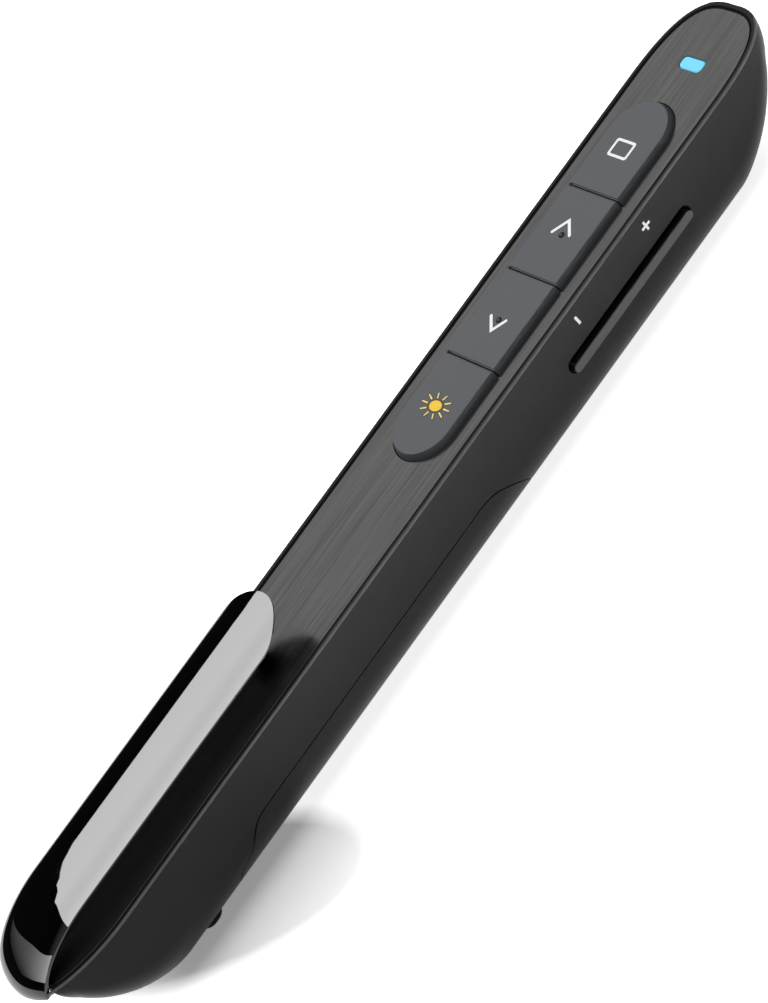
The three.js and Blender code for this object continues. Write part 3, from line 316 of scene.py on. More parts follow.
def cut(first, second):
    return boolean(first, second, "DIFFERENCE")


def common(first, second):
    return boolean(first, second, "INTERSECT")


def at_height(loop, z):
    """An outline seen from above, placed at one height."""
    return [(x, y, z) for x, y in loop]


def at_side(loop, y):
    """An outline seen from the side, placed at one y."""
    return [(x, y, z) for x, z in loop]


def prism_z(outline, low, high):
    return skin_rows([at_height(outline, z) for z in (low, high)])


def prism_y(outline, right, left):
    return skin_rows([at_side(outline, y) for y in (right, left)])


def box(x0, x1, y0, y1, z0, z1):
    return prism_z(((x0, y0), (x1, y0), (x1, y1), (x0, y1)), z0, z1)


def turned(axis, profile, a, b, steps=ROUND_STEPS):
    """Turned solid round an axis; the profile is (radius, place along the axis) points."""
    rows = []
    for radius, along in profile:
        row = []
        for i in range(steps):
            angle = 2 * math.pi * i / steps
            u = a + radius * math.cos(angle)
            v = b + radius * math.sin(angle)
            row.append({"x": (along, u, v), "y": (u, along, v), "z": (u, v, along)}[axis])
        rows.append(row)
    return skin_rows(rows)


def bar(axis, start, end, radius, a, b):
    """Round bar along an axis."""
    return turned(axis, ((radius, start), (radius, end)), a, b)


def quarter(steps):
    """Angles of a quarter turn, from 0 to a right angle."""
    return [math.pi / 2 * i / steps for i in range(steps + 1)]


def rounded(a, b, half_a, half_b, corner, steps=LOOP_STEPS):
    """Rectangle with rounded corners, as (a, b) points."""
    points = []
    for turn, (along_a, along_b) in enumerate(((1, 1), (-1, 1), (-1, -1), (1, -1))):
        for i in range(steps + 1):
            angle = math.pi / 2 * (turn + i / steps)
            points.append((
                a + along_a * (half_a - corner) + corner * math.cos(angle),
                b + along_b * (half_b - corner) + corner * math.sin(angle),
            ))
    return points


def fillet(radius, steps=FILLET_STEPS):
    """Quarter round as (inward, down) distances, from the side of an edge to its top."""
    return [(radius * (1 - math.cos(a)), radius * (1 - math.sin(a))) for a in quarter(steps)]


def smoothed(points, steps=CURVE_STEPS):
    """Curve through the points."""
    out = []
    last = len(points) - 1
    for i in range(last):
        p0, p1 = Vector(points[max(i - 1, 0)]), Vector(points[i])
        p2, p3 = Vector(points[i + 1]), Vector(points[min(i + 2, last)])
        for k in range(steps):
            t = k / steps
            curve = 2 * p1 + (p2 - p0) * t
            curve += (2 * p0 - 5 * p1 + 4 * p2 - p3) * t * t
            curve += (3 * p1 - 3 * p2 + p3 - p0) * t * t * t
            out.append(tuple(curve / 2))
    out.append(tuple(points[last]))
    return out


def node_mesh(name):
    """Copy of a CAD node's mesh in millimetres, welded."""
    work = bmesh.new()
    work.from_mesh(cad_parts[name].data)
    bmesh.ops.scale(work, vec=(1 / MM,) * 3, verts=work.verts)
    bmesh.ops.remove_doubles(work, verts=work.verts, dist=WELD)
    mesh = bpy.data.meshes.new("work")
    work.to_mesh(mesh)
    work.free()
    return mesh


def add_piece(name, mesh, body, look, replaces=()):
    """Adds a finished mesh, made in millimetres, as a piece that rides on a body."""
    mesh.transform(Matrix.Scale(MM, 4))
    finish_mesh(mesh, look)
    piece = bpy.data.objects.new(name, mesh)
    bpy.context.scene.collection.objects.link(piece)
    normals = piece.modifiers.new("normals", "WEIGHTED_NORMAL")
    normals.keep_sharp = True
    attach(piece, body)
    if replaces:
        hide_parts(*replaces)
    return piece


# Body form

def taper(share, power):
    """Superellipse: how much is left of a size at a share of the way along its end."""
    along = min(max(share, 0.0), 1.0)
    return (1 - along ** power) ** (1 / power)


def end_at(x):
    return NOSE if x > 0 else TAIL


def half_width(x):
    """Half of the body's width at x."""
    end = end_at(x)
    return HALF * taper((abs(x) - end.tip) / end.plan_length + 1, end.plan_power)


def depth(x):
    """The body's depth below its top plane at x."""
    end = end_at(x)
    share = (abs(x) - end.chin) / end.depth_length + 1
    return end.lip + (HEIGHT - end.lip) * taper(share, end.depth_power)


def corner_radius(x):
    """Radius of the belly's two corners at x."""
    return min(BELLY_RADIUS, BELLY_SHARE * half_width(x), BELLY_SHARE * depth(x))


def plan_normal(x):
    """Outward direction of the left side's plan outline at x."""
    end = end_at(x)
    along = max((abs(x) - end.tip) / end.plan_length + 1, 0.0)
    across = half_width(x) / HALF
    power = end.plan_power - 1
    normal = Vector((along ** power / end.plan_length, across ** power / HALF)).normalized()
    return math.copysign(normal.x, x), normal.y


def end_stations(end):
    """Places along one end, close together where its plan or its depth turns fast."""
    places = [end.tip]
    for angle in quarter(END_STEPS):
        left = math.cos(angle)
        places.append(end.tip - end.plan_length * (1 - left ** (2 / end.plan_power)))
        places.append(end.chin - end.depth_length * (1 - left ** (2 / end.depth_power)))
    spaced = []
    for place in sorted(places):
        if not spaced or place - spaced[-1] > LEAST_STATION_GAP:
            spaced.append(place)
    spaced[-1] = end.tip
    return spaced


def body_stations():
    """Places of the body's sections, from the tail to the nose."""
    return [-x for x in reversed(end_stations(TAIL))] + end_stations(NOSE)


def plan_loop(inset):
    """The body's plan outline, drawn in by inset along its normal."""
    half = []
    for x in body_stations():
        nx, ny = plan_normal(x)
        half.append((x - nx * inset, half_width(x) - ny * inset))
    return half + [(x, -y) for x, y in reversed(half[1:-1])]


def skin_column(x):
    """Points of the left half's outer skin at one place, from the recess over the rim to the belly."""
    nx, ny = plan_normal(x)
    half, deep, radius = half_width(x), depth(x), corner_radius(x)
    outer = min(RIM_OUTER_FILLET, RIM_FILLET_SHARE * (deep - radius))
    rim = [
        (RIM_WIDTH + RIM_LEDGE_WIDTH, FRAME_TOP),
        (RIM_WIDTH + RIM_LEDGE_WIDTH, RIM_LEDGE),
        (RIM_WIDTH, RIM_LEDGE),
    ]
    for inward, down in fillet(RIM_INNER_FILLET):
        rim.append((RIM_WIDTH - inward, HEIGHT - down))
    for inward, down in reversed(fillet(outer)):
        rim.append((inward, HEIGHT - down))
    column = [(x - nx * inset, half - ny * inset, z) for inset, z in rim]
    bottom = HEIGHT - deep
    for angle in quarter(CORNER_STEPS):
        y = half - radius * (1 - math.cos(angle))
        column.append((x, y, bottom + radius * (1 - math.sin(angle))))
    return column + [(x, 0.0, bottom)]


def body_skin():
    """Closed outer form of the body with its rim and the recess for the top plate."""
    rows = []
    for x in body_stations():
        left = skin_column(x)
        rows.append([(px, -py, pz) for px, py, pz in left[:-1]] + left[::-1])
    return skin_rows(rows, capped=False)


def body_form(inset, rear, front, top):
    """Body form drawn in by inset between two places, with a flat top."""
    places = [x - math.copysign(inset, x) for x in body_stations()]
    rows = []
    for x in [rear] + [p for p in places if rear + WALL / 4 < p < front - WALL / 4] + [front]:
        shifted = x + math.copysign(inset, x)
        radius = corner_radius(shifted) - inset
        half = half_width(shifted) - inset
        bottom = HEIGHT - depth(shifted) + inset
        arc = []
        for angle in quarter(FORM_CORNER_STEPS):
            arc.append((half - radius * (1 - math.cos(angle)), bottom + radius * (1 - math.sin(angle))))
        section = [(-half, top)] + [(-y, z) for y, z in arc] + arc[::-1] + [(half, top)]
        rows.append([(x, y, z) for y, z in section])
    return skin_rows(rows)


CAVITY_REAR = -TAIL.chin + WALL + TAIL.lip
CAVITY_FRONT = NOSE.chin - WALL - NOSE.lip


def inner_details(node):
    """What a CAD node holds inside the wall."""
    return common(node_mesh(node), body_form(DETAIL_INSET, CAVITY_REAR, CAVITY_FRONT, PLATE_BOTTOM))


def cover_outline(gap):
    """Battery cover's outline seen from the side, grown by a gap."""
    low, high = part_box("battery_cover")
    rear_end, front_end = low.x / MM, high.x / MM
    outline = []
    for end, way, length, shares in (
        (rear_end, -1, COVER_REAR_CURVE, COVER_REAR_SHARES),
        (front_end, 1, COVER_FRONT_CURVE, COVER_FRONT_SHARES),
    ):
        curve = [
            (end - way * length * (1 - along) + way * gap, (PARTING_HEIGHT + gap) * up)
            for along, up in smoothed(shares)
        ]
        outline += curve[::way]
    return outline + [(front_end + gap, -OVERRUN), (rear_end - gap, -OVERRUN)]


# Pocket clip form

def clip_arch(across):
    """How far the clip's outer face rises over its edges, at a share of its half width."""
    return CLIP_ARCH * (1 - abs(across) ** CLIP_ARCH_POWER)


def clip_section(place, edge_share, foot_share):
    """One section of the clip: the outer surface from right to left, then the inner one back."""
    rim = CLIP_EDGE + (CLIP_THICKNESS - CLIP_EDGE) * foot_share
    spread = [math.sin(math.pi / 2 * (2 * i / CLIP_ACROSS - 1)) for i in range(CLIP_ACROSS + 1)]
    outer = [place(across, 0.0) for across in spread]
    inner = []
    for across in reversed(spread):
        inset = rim + (CLIP_THICKNESS - rim) * (1 - across * across) * edge_share
        inner.append(place(across, inset))
    return outer + inner


def clip_blade():
    """Rounded front end, straight arm and the bend down round the tail."""

    def arm(x, half):
        def place(across, inset):
            y = half * across
            return (x, y, CLIP_RIM + clip_arch(y / CLIP_HALF) - inset)
        return place

    def bend(turn):
        angle = math.pi / 2 * turn
        half = CLIP_HALF + (CLIP_FOOT_HALF - CLIP_HALF) * turn * turn

        def place(across, inset):
            reach = CLIP_BEND_REACH - CLIP_CROWN * across * across - inset
            rise = CLIP_RIM + clip_arch(across) - CLIP_FOOT - inset
            x = CLIP_BEND_START - reach * math.sin(angle) ** (2 / CLIP_BEND_POWER)
            return (x, half * across, CLIP_FOOT + rise * max(math.cos(angle), 0.0) ** (2 / CLIP_BEND_POWER))
        return place

    rows = []
    for angle in quarter(CLIP_NOSE_STEPS)[:-1]:
        x = CLIP_FRONT - CLIP_NOSE_LENGTH * (1 - math.cos(angle))
        share = math.sin(angle)
        rows.append(clip_section(arm(x, CLIP_HALF * share), share * share, 0.0))
    arm_front = CLIP_FRONT - CLIP_NOSE_LENGTH
    for i in range(CLIP_ARM_STEPS):
        x = arm_front + (CLIP_BEND_START - arm_front) * i / CLIP_ARM_STEPS
        rows.append(clip_section(arm(x, CLIP_HALF), 1.0, 0.0))
    for i in range(CLIP_BEND_STEPS + 1):
        turn = i / CLIP_BEND_STEPS
        rows.append(clip_section(bend(turn), 1.0, turn * turn))
    return skin_rows(rows)


def clip_tail_cut():
    """Space that the housing and the plate leave behind the clip's inner surface."""
    grow = (CLIP_FOOT_HALF + FIT_GAP) / CLIP_FOOT_HALF
    level = (HEIGHT - CLIP_FOOT) / (CLIP_RIM - CLIP_FOOT - CLIP_THICKNESS)
    points = []
    for i in range(CLIP_ACROSS + 1):
        across = grow * (2 * i / CLIP_ACROSS - 1)
        reach = CLIP_BEND_REACH - CLIP_CROWN * across * across - CLIP_THICKNESS - FIT_GAP
        points.append((CLIP_BEND_START - reach * taper(level, CLIP_BEND_POWER), CLIP_FOOT_HALF * across))
    half = CLIP_FOOT_HALF * grow
    points += [(-TAIL.tip - OVERRUN, half), (-TAIL.tip - OVERRUN, -half)]
    return prism_z(points, -OVERRUN, HEIGHT + OVERRUN)


def clip_web(room_above, room_below, half):
    """The clip's web from its foot to the hinge pin, thickened by room above and below."""
    foot = Vector((CLIP_BEND_START - CLIP_BEND_REACH + CLIP_THICKNESS, CLIP_FOOT + CLIP_WEB_RISE))
    pin = Vector(CLIP_PIN)
    along = (pin - foot).normalized()
    normal = Vector((-along.y, along.x))
    above = normal * (CLIP_WEB_THICKNESS / 2 + room_above)
    below = normal * (CLIP_WEB_THICKNESS / 2 + room_below)
    outline = [foot - below, pin - below, pin + above, foot + above]
    return prism_y([tuple(p) for p in outline], -half, half)


def clip_cut():
    """Way through the tail for the clip's web, knuckle and pin."""
    half = CLIP_WEB_HALF + FIT_GAP
    web = clip_web(FIT_GAP, CLIP_SWING_ROOM + FIT_GAP, half)
    knuckle = bar("y", -half, half, CLIP_KNUCKLE_RADIUS + FIT_GAP, *CLIP_PIN)
    reach = CLIP_PIN_LENGTH / 2 + RUN_GAP
    pin = bar("y", -reach, reach, CLIP_PIN_RADIUS + RUN_GAP, *CLIP_PIN)
    return joined(joined(web, knuckle), pin)


# Key forms

def pad_loop(offset):
    """Outline of the whole key strip seen from above, offset outwards."""
    points = []
    for centre, first_turn in ((PAD_FRONT - PAD_END, -1), (PAD_REAR + PAD_END, 1)):
        for i in range(2 * CORNER_STEPS + 1):
            angle = math.pi / 2 * (i / CORNER_STEPS + first_turn)
            x = centre + (PAD_END + offset) * math.cos(angle)
            points.append((x, (PAD_HALF + offset) * math.sin(angle)))
    return points


def key_loop(index, side, split):
    """Outline of one key: side is its offset at the strip's edge, split at the gaps between keys."""
    half = PAD_HALF + side
    points = []
    for front, left in ((True, True), (False, True), (False, False), (True, False)):
        if (front and index == len(KEYS) - 1) or (not front and index == 0):
            corner = round_end(front, left, side)
        else:
            middle = KEY_SPLITS[index if front else index - 1]
            way = 1 if front else -1
            edge = middle - way * (KEY_SPLIT_GAP / 2 - split)
            if left:
                corner = eared_corner(edge, middle - way * (KEY_EAR_GAP / 2 - min(split, 0)), half)
            else:
                corner = plain_corner(edge, way, half)
        points += corner if front == left else corner[::-1]
    return points


def round_end(front, left, side):
    """Quarter of the strip's rounded end, from its tip to its side."""
    centre, way = (PAD_FRONT - PAD_END, 1) if front else (PAD_REAR + PAD_END, -1)
    across = 1 if left else -1
    points = []
    for angle in quarter(CORNER_STEPS):
        x = centre + way * (PAD_END + side) * math.cos(angle)
        points.append((x, across * (PAD_HALF + side) * math.sin(angle)))
    return points


def eared_corner(edge, ear, half):
    """Left corner of a key: the gap ends in a half round, and an ear nearly meets the next key."""
    points = []
    turn_steps = CORNER_STEPS // 2
    for angle in quarter(turn_steps):
        x = ear - (ear - edge) * math.cos(angle)
        points.append((x, half - KEY_EAR + abs(ear - edge) * math.sin(angle)))
    way = math.copysign(KEY_CORNER, ear - edge)
    for angle in quarter(turn_steps - 1):
        x = ear - way * (1 - math.cos(angle))
        points.append((x, half - KEY_CORNER * (1 - math.sin(angle))))
    return points


def plain_corner(edge, way, half):
    """Right corner of a key."""
    points = []
    for angle in quarter(CORNER_STEPS):
        x = edge - way * KEY_CORNER * (1 - math.cos(angle))
        points.append((x, -half + KEY_CORNER * (1 - math.sin(angle))))
    return points


def key_middle(index):
    """The middle of a key along the pen, where its stem stands."""
    rear = PAD_REAR if index == 0 else KEY_SPLITS[index - 1] + KEY_SPLIT_GAP / 2
    front = PAD_FRONT if index == len(KEYS) - 1 else KEY_SPLITS[index] - KEY_SPLIT_GAP / 2
    return (rear + front) / 2


def key_mesh(index):
    """Hollow key with a flange under the plate, flared sides, a rounded top edge and a stem."""
    low = KEY_FLANGE_TOP - KEY_FLANGE_THICKNESS
    flange = PAD_FLARE + KEY_FLANGE
    ledge = PAD_TOP - KEY_LEDGE_DEPTH
    ledge_side = PAD_FLARE * KEY_LEDGE_DEPTH / (PAD_TOP - PLATE_TOP)
    steps = [
        (-KEY_WALL, -KEY_WALL, PAD_TOP - KEY_ROOF),
        (-KEY_WALL, -KEY_WALL, low),
        (flange, KEY_LEDGE, low),
        (flange, KEY_LEDGE, KEY_FLANGE_TOP),
        (PAD_FLARE, KEY_LEDGE, KEY_FLANGE_TOP),
        (PAD_FLARE, KEY_LEDGE, PLATE_TOP),
        (ledge_side, KEY_LEDGE, ledge),
        (ledge_side, 0.0, ledge),
    ]
    steps += [(-inward, -inward, PAD_TOP - down) for inward, down in fillet(KEY_FILLET)]
    rows = [at_height(key_loop(index, side, split), z) for side, split, z in steps]
    stem = bar("z", KEY_STEM_BOTTOM, PAD_TOP - KEY_ROOF / 2, KEY_STEM_RADIUS, key_middle(index), 0.0)
    return joined(skin_rows(rows), stem)


# Symbols

def thin_z(outline, rise=SYMBOL_RISE):
    """Printed shape on the keys' top."""
    return prism_z(outline, PAD_TOP - SYMBOL_SINK, PAD_TOP + rise)


def square_ring():
    """Outline of a square with rounded corners."""
    x0, x1, y0, y1 = SQUARE
    middle = ((x0 + x1) / 2, (y0 + y1) / 2)
    reach = ((x1 - x0) / 2, (y1 - y0) / 2)
    low, high = PAD_TOP - SYMBOL_SINK, PAD_TOP + SYMBOL_RISE
    rows = []
    for inset, z in ((0, low), (0, high), (SQUARE_STROKE, high), (SQUARE_STROKE, low)):
        corner = SQUARE_CORNER * (1 - inset / (2 * SQUARE_STROKE))
        rows.append(at_height(rounded(*middle, reach[0] - inset, reach[1] - inset, corner), z))
    return skin_rows(rows, looped=True)


def stroke(points, width):
    """Outline of a bent line through three points, with round ends."""
    start, bend, end = (Vector(p) for p in points)
    first = (bend - start).normalized()
    second = (end - bend).normalized()
    left_first = Vector((-first.y, first.x)) * width / 2
    left_second = Vector((-second.y, second.x)) * width / 2
    mitre = (left_first + left_second).normalized()
    mitre *= (width / 2) / max(mitre.dot(left_first.normalized()), LEAST_MITRE)

    def round_cap(place, along, left):
        cap = []
        for i in range(CAP_STEPS + 1):
            angle = math.pi * i / CAP_STEPS
            cap.append(place + left * math.cos(angle) + along * math.sin(angle) * width / 2)
        return cap

    outline = [bend + mitre] + round_cap(end, second, left_second)
    outline += [bend - mitre] + round_cap(start, -first, -left_first)
    return [tuple(p) for p in outline]


def nub_mesh(place):
    """Small dome that a finger finds on a key."""
    profile = [(NUB_RADIUS, PAD_TOP - SYMBOL_SINK)]
    for angle in quarter(NUB_STEPS)[:-1]:
        profile.append((NUB_RADIUS * math.cos(angle), PAD_TOP + NUB_RISE * math.sin(angle)))
    profile.append((0.0, PAD_TOP + NUB_RISE))
    return turned("z", profile, *place, steps=NUB_ROUND_STEPS)


def sun_rays(grow, rise):
    """The sun's rays as one mesh of separate bars, each grown by a margin."""
    points, faces = [], []
    low, high = PAD_TOP - SYMBOL_SINK, PAD_TOP + rise
    for i in range(SUN_RAYS):
        angle = SUN_FIRST_RAY + 2 * math.pi * i / SUN_RAYS
        way = Vector((SUN_REACH[0] * math.cos(angle), SUN_REACH[1] * math.sin(angle)))
        start = Vector(SUN) + way * SUN_RAY_SHARES[0] - way.normalized() * grow
        end = Vector(SUN) + way * SUN_RAY_SHARES[1] + way.normalized() * grow
        across = Vector((-way.y, way.x)).normalized() * (SUN_RAY_WIDTH / 2 + grow)
        base = len(points)
        near, far = across * SUN_RAY_TAPER[0], across * SUN_RAY_TAPER[1]
        outline = (start - near, end - far, end + far, start + near)
        points += at_height(outline, low) + at_height(outline, high)
        faces += [tuple(base + k for k in face) for face in (
            (0, 1, 2, 3), (4, 5, 6, 7), (0, 1, 5, 4), (1, 2, 6, 5), (2, 3, 7, 6), (3, 0, 4, 7)
        )]
    return mesh_of(points, faces)


def sun_disc(grow, rise):
    """The sun's disc, grown by a margin."""
    outline = []
    for i in range(ROUND_STEPS):
        angle = 2 * math.pi * i / ROUND_STEPS
        x = SUN[0] + (SUN_REACH[0] + grow) * math.cos(angle)
        outline.append((x, SUN[1] + (SUN_REACH[1] + grow) * math.sin(angle)))
    return thin_z(outline, rise=rise)


def side_symbol(middle, outline):
    """Printed shape on the right wall."""
    shifted = [(middle[0] + a, middle[1] + b) for a, b in outline]
    return prism_y(shifted, -HALF - SYMBOL_RISE, -HALF + SYMBOL_SINK)


# Materials

# Noise scales of the plastics' fine spark, of their broad unevenness and of the brushed grain
SPARK_SCALE = 5200.0
CLOUD_SCALE = 60.0
BRUSH_SCALES = (70.0, 7000.0, 7000.0)

# How far roughness strays to each side of its value
SMOOTHER = 0.03
ROUGHER = 0.04

# Where the painted shade on a piece's sides starts and where it is full: the rocker's along Y, the keys'
# along Z
ROCKER_SHADE_SPAN = (-9.0, -9.06)
KEY_SHADE_SPAN = (PAD_TOP - 0.07, PAD_TOP - 0.03)


def linear(red, green, blue):
    """Linear colour of a display colour given as 0 to 255."""
    out = []
    for value in (red, green, blue):
        share = value / 255
        out.append(share / 12.92 if share <= 0.04045 else ((share + 0.055) / 1.055) ** 2.4)
    return (*out, 1.0)


def add_node(tree, kind, inputs, **settings):
    """Adds a shader node; inputs maps each socket to a value or to the socket that feeds it."""
    node = tree.nodes.new("ShaderNode" + kind)
    for setting, value in settings.items():
        setattr(node, setting, value)
    for socket, value in inputs.items():
        if isinstance(value, bpy.types.NodeSocket):
            tree.links.new(value, node.inputs[socket])
        else:
            node.inputs[socket].default_value = value
    return node


def spread(tree, value, low, high, to_low, to_high):
    """Maps a value from one range to another and holds it there."""
    numbers = {"From Min": low, "From Max": high, "To Min": to_low, "To Max": to_high}
    return add_node(tree, "MapRange", {"Value": value, **numbers}).outputs["Result"]


def calculated(tree, operation, *values):
    """Result of one sum on values and sockets."""
    return add_node(tree, "Math", dict(enumerate(values)), operation=operation).outputs[0]


class Finish:
    """A node material with helpers for noise, ramps and bump."""

    def __init__(self, name, color, roughness, metallic=0.0, ior=1.5, gloss_level=0.5):
        self.material = bpy.data.materials.new(name)
        self.material.use_nodes = True
        self.tree = self.material.node_tree
        self.shader = self.tree.nodes["Principled BSDF"]
        self.shader.inputs["Base Color"].default_value = color
        self.shader.inputs["Roughness"].default_value = roughness
        self.shader.inputs["Metallic"].default_value = metallic
        self.shader.inputs["IOR"].default_value = ior
        self.shader.inputs["Specular IOR Level"].default_value = gloss_level
        self.place = self.tree.nodes.new("ShaderNodeTexCoord").outputs["Object"]

    def feed(self, value, socket):
        self.tree.links.new(value, self.shader.inputs[socket])

    def noise(self, scale, stretch=(1, 1, 1), detail=3.0, roughness=0.55):
        """Noise in the object's own coordinates."""
        place = add_node(self.tree, "Mapping", {"Vector": self.place, "Scale": stretch}).outputs[0]
        form = {"Vector": place, "Scale": scale, "Detail": detail, "Roughness": roughness}
        return add_node(self.tree, "TexNoise", form).outputs["Fac"]

    def axis(self, letter):
        """The place along one of the object's own axes, in millimetres."""
        apart = add_node(self.tree, "SeparateXYZ", {"Vector": self.place})
        return spread(self.tree, apart.outputs[letter], -1.0, 1.0, -1.0 / MM, 1.0 / MM)

    def blend(self, factor, first, second):
        """Colour that goes from the first to the second."""
        sides = {"Factor": factor, 6: first, 7: second}
        return add_node(self.tree, "Mix", sides, data_type="RGBA").outputs[2]

    def ramp(self, value, low, dark, high, pale):
        """Colour that goes from dark to pale as the value goes from low to high."""
        node = add_node(self.tree, "ValToRGB", {"Fac": value})
        for stop, place, color in zip(node.color_ramp.elements, (low, high), (dark, pale)):
            stop.position, stop.color = place, color
        return node

    def tint(self, value, low, dark, high, pale):
        self.feed(self.ramp(value, low, dark, high, pale).outputs["Color"], "Base Color")

    def roughen(self, value, low, high, smooth, rough):
        self.feed(spread(self.tree, value, low, high, smooth, rough), "Roughness")

    def bump(self, value, distance, strength=1.0):
        """Relief of a depth in millimetres."""
        relief = {"Height": value, "Strength": strength, "Distance": distance * MM}
        self.feed(add_node(self.tree, "Bump", relief).outputs["Normal"], "Normal")


def scaled(color, factor):
    return (color[0] * factor, color[1] * factor, color[2] * factor, 1.0)


def moulded(name, color, roughness, grain=0.004, variation=0.06, gloss_level=0.5, under=None):
    """Satin moulded plastic with a fine spark texture.

    Under gives a second, darker colour that paints shade on part of the piece, and the axis and the two
    places along it between which it ends.
    """
    finish = Finish(name, color, roughness, gloss_level=gloss_level)
    finish.bump(finish.noise(SPARK_SCALE, detail=2.0), grain)
    broad = finish.noise(CLOUD_SCALE, detail=4.0)
    tone = finish.ramp(broad, 0.3, scaled(color, 1 - variation), 0.7, scaled(color, 1 + variation))
    tone = tone.outputs["Color"]
    if under:
        body, axis, low, high = under
        tone = finish.blend(spread(finish.tree, finish.axis(axis), low, high, 0.0, 1.0), body, tone)
    finish.feed(tone, "Base Color")
    finish.roughen(broad, 0.3, 0.7, roughness - SMOOTHER, roughness + ROUGHER)
    return finish.material


def brushed(name, color, roughness, contrast, metallic):
    """Metal brushed along the pen."""
    finish = Finish(name, color, roughness, metallic)
    streak = finish.noise(1.0, BRUSH_SCALES, detail=4.0, roughness=0.6)
    wide = finish.noise(1.0, tuple(scale / 4 for scale in BRUSH_SCALES), detail=2.0)
    ramp = finish.ramp(streak, 0.32, scaled(color, 1 - contrast), 0.7, scaled(color, 1 + contrast))
    ramp.color_ramp.elements.new(0.5).color = color
    finish.feed(ramp.outputs["Color"], "Base Color")
    finish.roughen(wide, 0.3, 0.7, roughness - SMOOTHER, roughness + ROUGHER)
    finish.bump(streak, 0.003)
    return finish.material


def metal(name, color, roughness):
    """Plated or turned metal with faint wear."""
    finish = Finish(name, color, roughness, metallic=1.0)
    wear = finish.noise(900.0, detail=5.0)
    finish.roughen(wear, 0.35, 0.7, roughness - 0.05, roughness + 0.12)
    finish.tint(wear, 0.35, scaled(color, 0.88), 0.65, color)
    finish.bump(wear, 0.002)
    return finish.material


def gloss(name, color, roughness, ripple_depth=0.0015):
    """Polished plastic, nearly a mirror."""
    finish = Finish(name, color, roughness)
    finish.bump(finish.noise(90.0, detail=1.0), ripple_depth, 0.4)
    haze = finish.noise(2500.0, detail=2.0)
    finish.roughen(haze, 0.3, 0.7, roughness * 0.7, roughness * 1.4)
    return finish.material


def glowing(name, color, light, strength):
    """Lit window: clear plastic over a light."""
    finish = Finish(name, color, 0.3)
    cloud = finish.noise(700.0, detail=2.0)
    finish.tint(cloud, 0.35, scaled(color, 0.94), 0.65, color)
    lit = finish.ramp(cloud, 0.35, scaled(light, 0.97), 0.65, light)
    finish.feed(lit.outputs["Color"], "Emission Color")
    finish.shader.inputs["Emission Strength"].default_value = strength
    return finish.material


def printed(name, color):
    """Printed symbol with a slightly uneven coat."""
    finish = Finish(name, color, 0.5)
    coat = finish.noise(3000.0, detail=2.0)
    finish.tint(coat, 0.3, scaled(color, 0.95), 0.6, color)
    finish.bump(coat, 0.001)
    return finish.material


def board_finish(name, color):
    """Solder mask with faint tracks."""
    finish = Finish(name, color, 0.35)
    tracks = add_node(finish.tree, "TexBrick", {
        "Vector": finish.place,
        "Scale": 420.0,
        "Color1": color,
        "Color2": scaled(color, 1.15),
        "Mortar": scaled(color, 1.8),
        "Mortar Size": 0.04,
    })
    finish.feed(tracks.outputs["Color"], "Base Color")
    finish.bump(tracks.outputs["Fac"], -0.01)
    return finish.material


def lens_finish(name, color):
    """Clear lens."""
    finish = Finish(name, color, 0.03, ior=1.49)
    finish.shader.inputs["Transmission Weight"].default_value = 1.0
    finish.roughen(finish.noise(1500.0, detail=1.0), 0.3, 0.7, 0.02, 0.05)
    return finish.material


SHELL = moulded("satin_shell", linear(28, 28, 29), 0.38, 0.003, 0.03, 0.1)
# Lighter colour for the rim's outer fillet: a painted highlight
RIM_HIGHLIGHT_LOOK = moulded("painted_rim_highlight", linear(70, 71, 70), 0.3, 0.002, 0.03)
# Near-black colour for the rocker slot's walls: a painted shade
SLOT_SHADE_LOOK = moulded("painted_slot_shade", linear(6, 6, 6), 0.6)
# The rocker's sides and back get a near-black painted shade; only its front face is satin grey
ROCKER_LOOK = moulded(
    "satin_rocker_painted_shade", linear(62, 63, 63), 0.42, 0.003, 0.02, 0.25,
    (linear(6, 6, 6), "Y", *ROCKER_SHADE_SPAN),
)
# The keys' sides get a slightly darker colour than their tops: a painted shade
KEY_LOOK = moulded(
    "satin_key_painted_shade", linear(87, 90, 94), 0.42, 0.002, 0.02, 0.25,
    (linear(78, 80, 83), "Z", *KEY_SHADE_SPAN),
)
PLATE_LOOK = brushed("brushed_plate", linear(70, 71, 70), 0.18, contrast=0.45, metallic=0.7)
CLIP_LOOK = gloss("piano_black", linear(2, 2, 2), 0.008, ripple_depth=0.0001)
NUB_LOOK = gloss("nub_black", linear(12, 12, 12), 0.12)
INNER_LOOK = moulded("inner_black", linear(28, 28, 29), 0.6)
CHIP_LOOK = moulded("chip_black", linear(20, 20, 20), 0.45)
STEEL_LOOK = metal("plated_steel", linear(200, 202, 205), 0.28)
RING_LOOK = metal("ring_steel", linear(150, 151, 153), 0.3)
BRASS_LOOK = metal("turned_brass", linear(185, 151, 79), 0.28)
GILT_LOOK = metal("gilt_lead", linear(201, 164, 85), 0.3)
WHITE_LOOK = printed("symbol_white", linear(252, 252, 252))
SUN_LOOK = printed("symbol_yellow", linear(255, 206, 32))
RAY_LOOK = printed("symbol_pale_yellow", linear(250, 226, 130))
# Dark olive for a slightly larger copy of the sun under the symbol: a painted shade round its raised edge
SUN_EDGE_SHADE_LOOK = printed("painted_symbol_edge_shade", linear(62, 56, 34))
WINDOW_LOOK = glowing("lit_window", linear(30, 110, 150), linear(112, 210, 247), 0.85)
LED_LOOK = glowing("led_lens", linear(200, 206, 210), linear(232, 238, 240), 0.2)
BOARD_LOOK = board_finish("solder_mask", linear(20, 80, 45))
FILM_LOOK = moulded("amber_film", linear(185, 117, 44), 0.35)
CELL_LOOK = moulded("cell_sleeve", linear(59, 110, 165), 0.3, grain=0.001)
LENS_LOOK = lens_finish("clear_lens", linear(207, 227, 234))

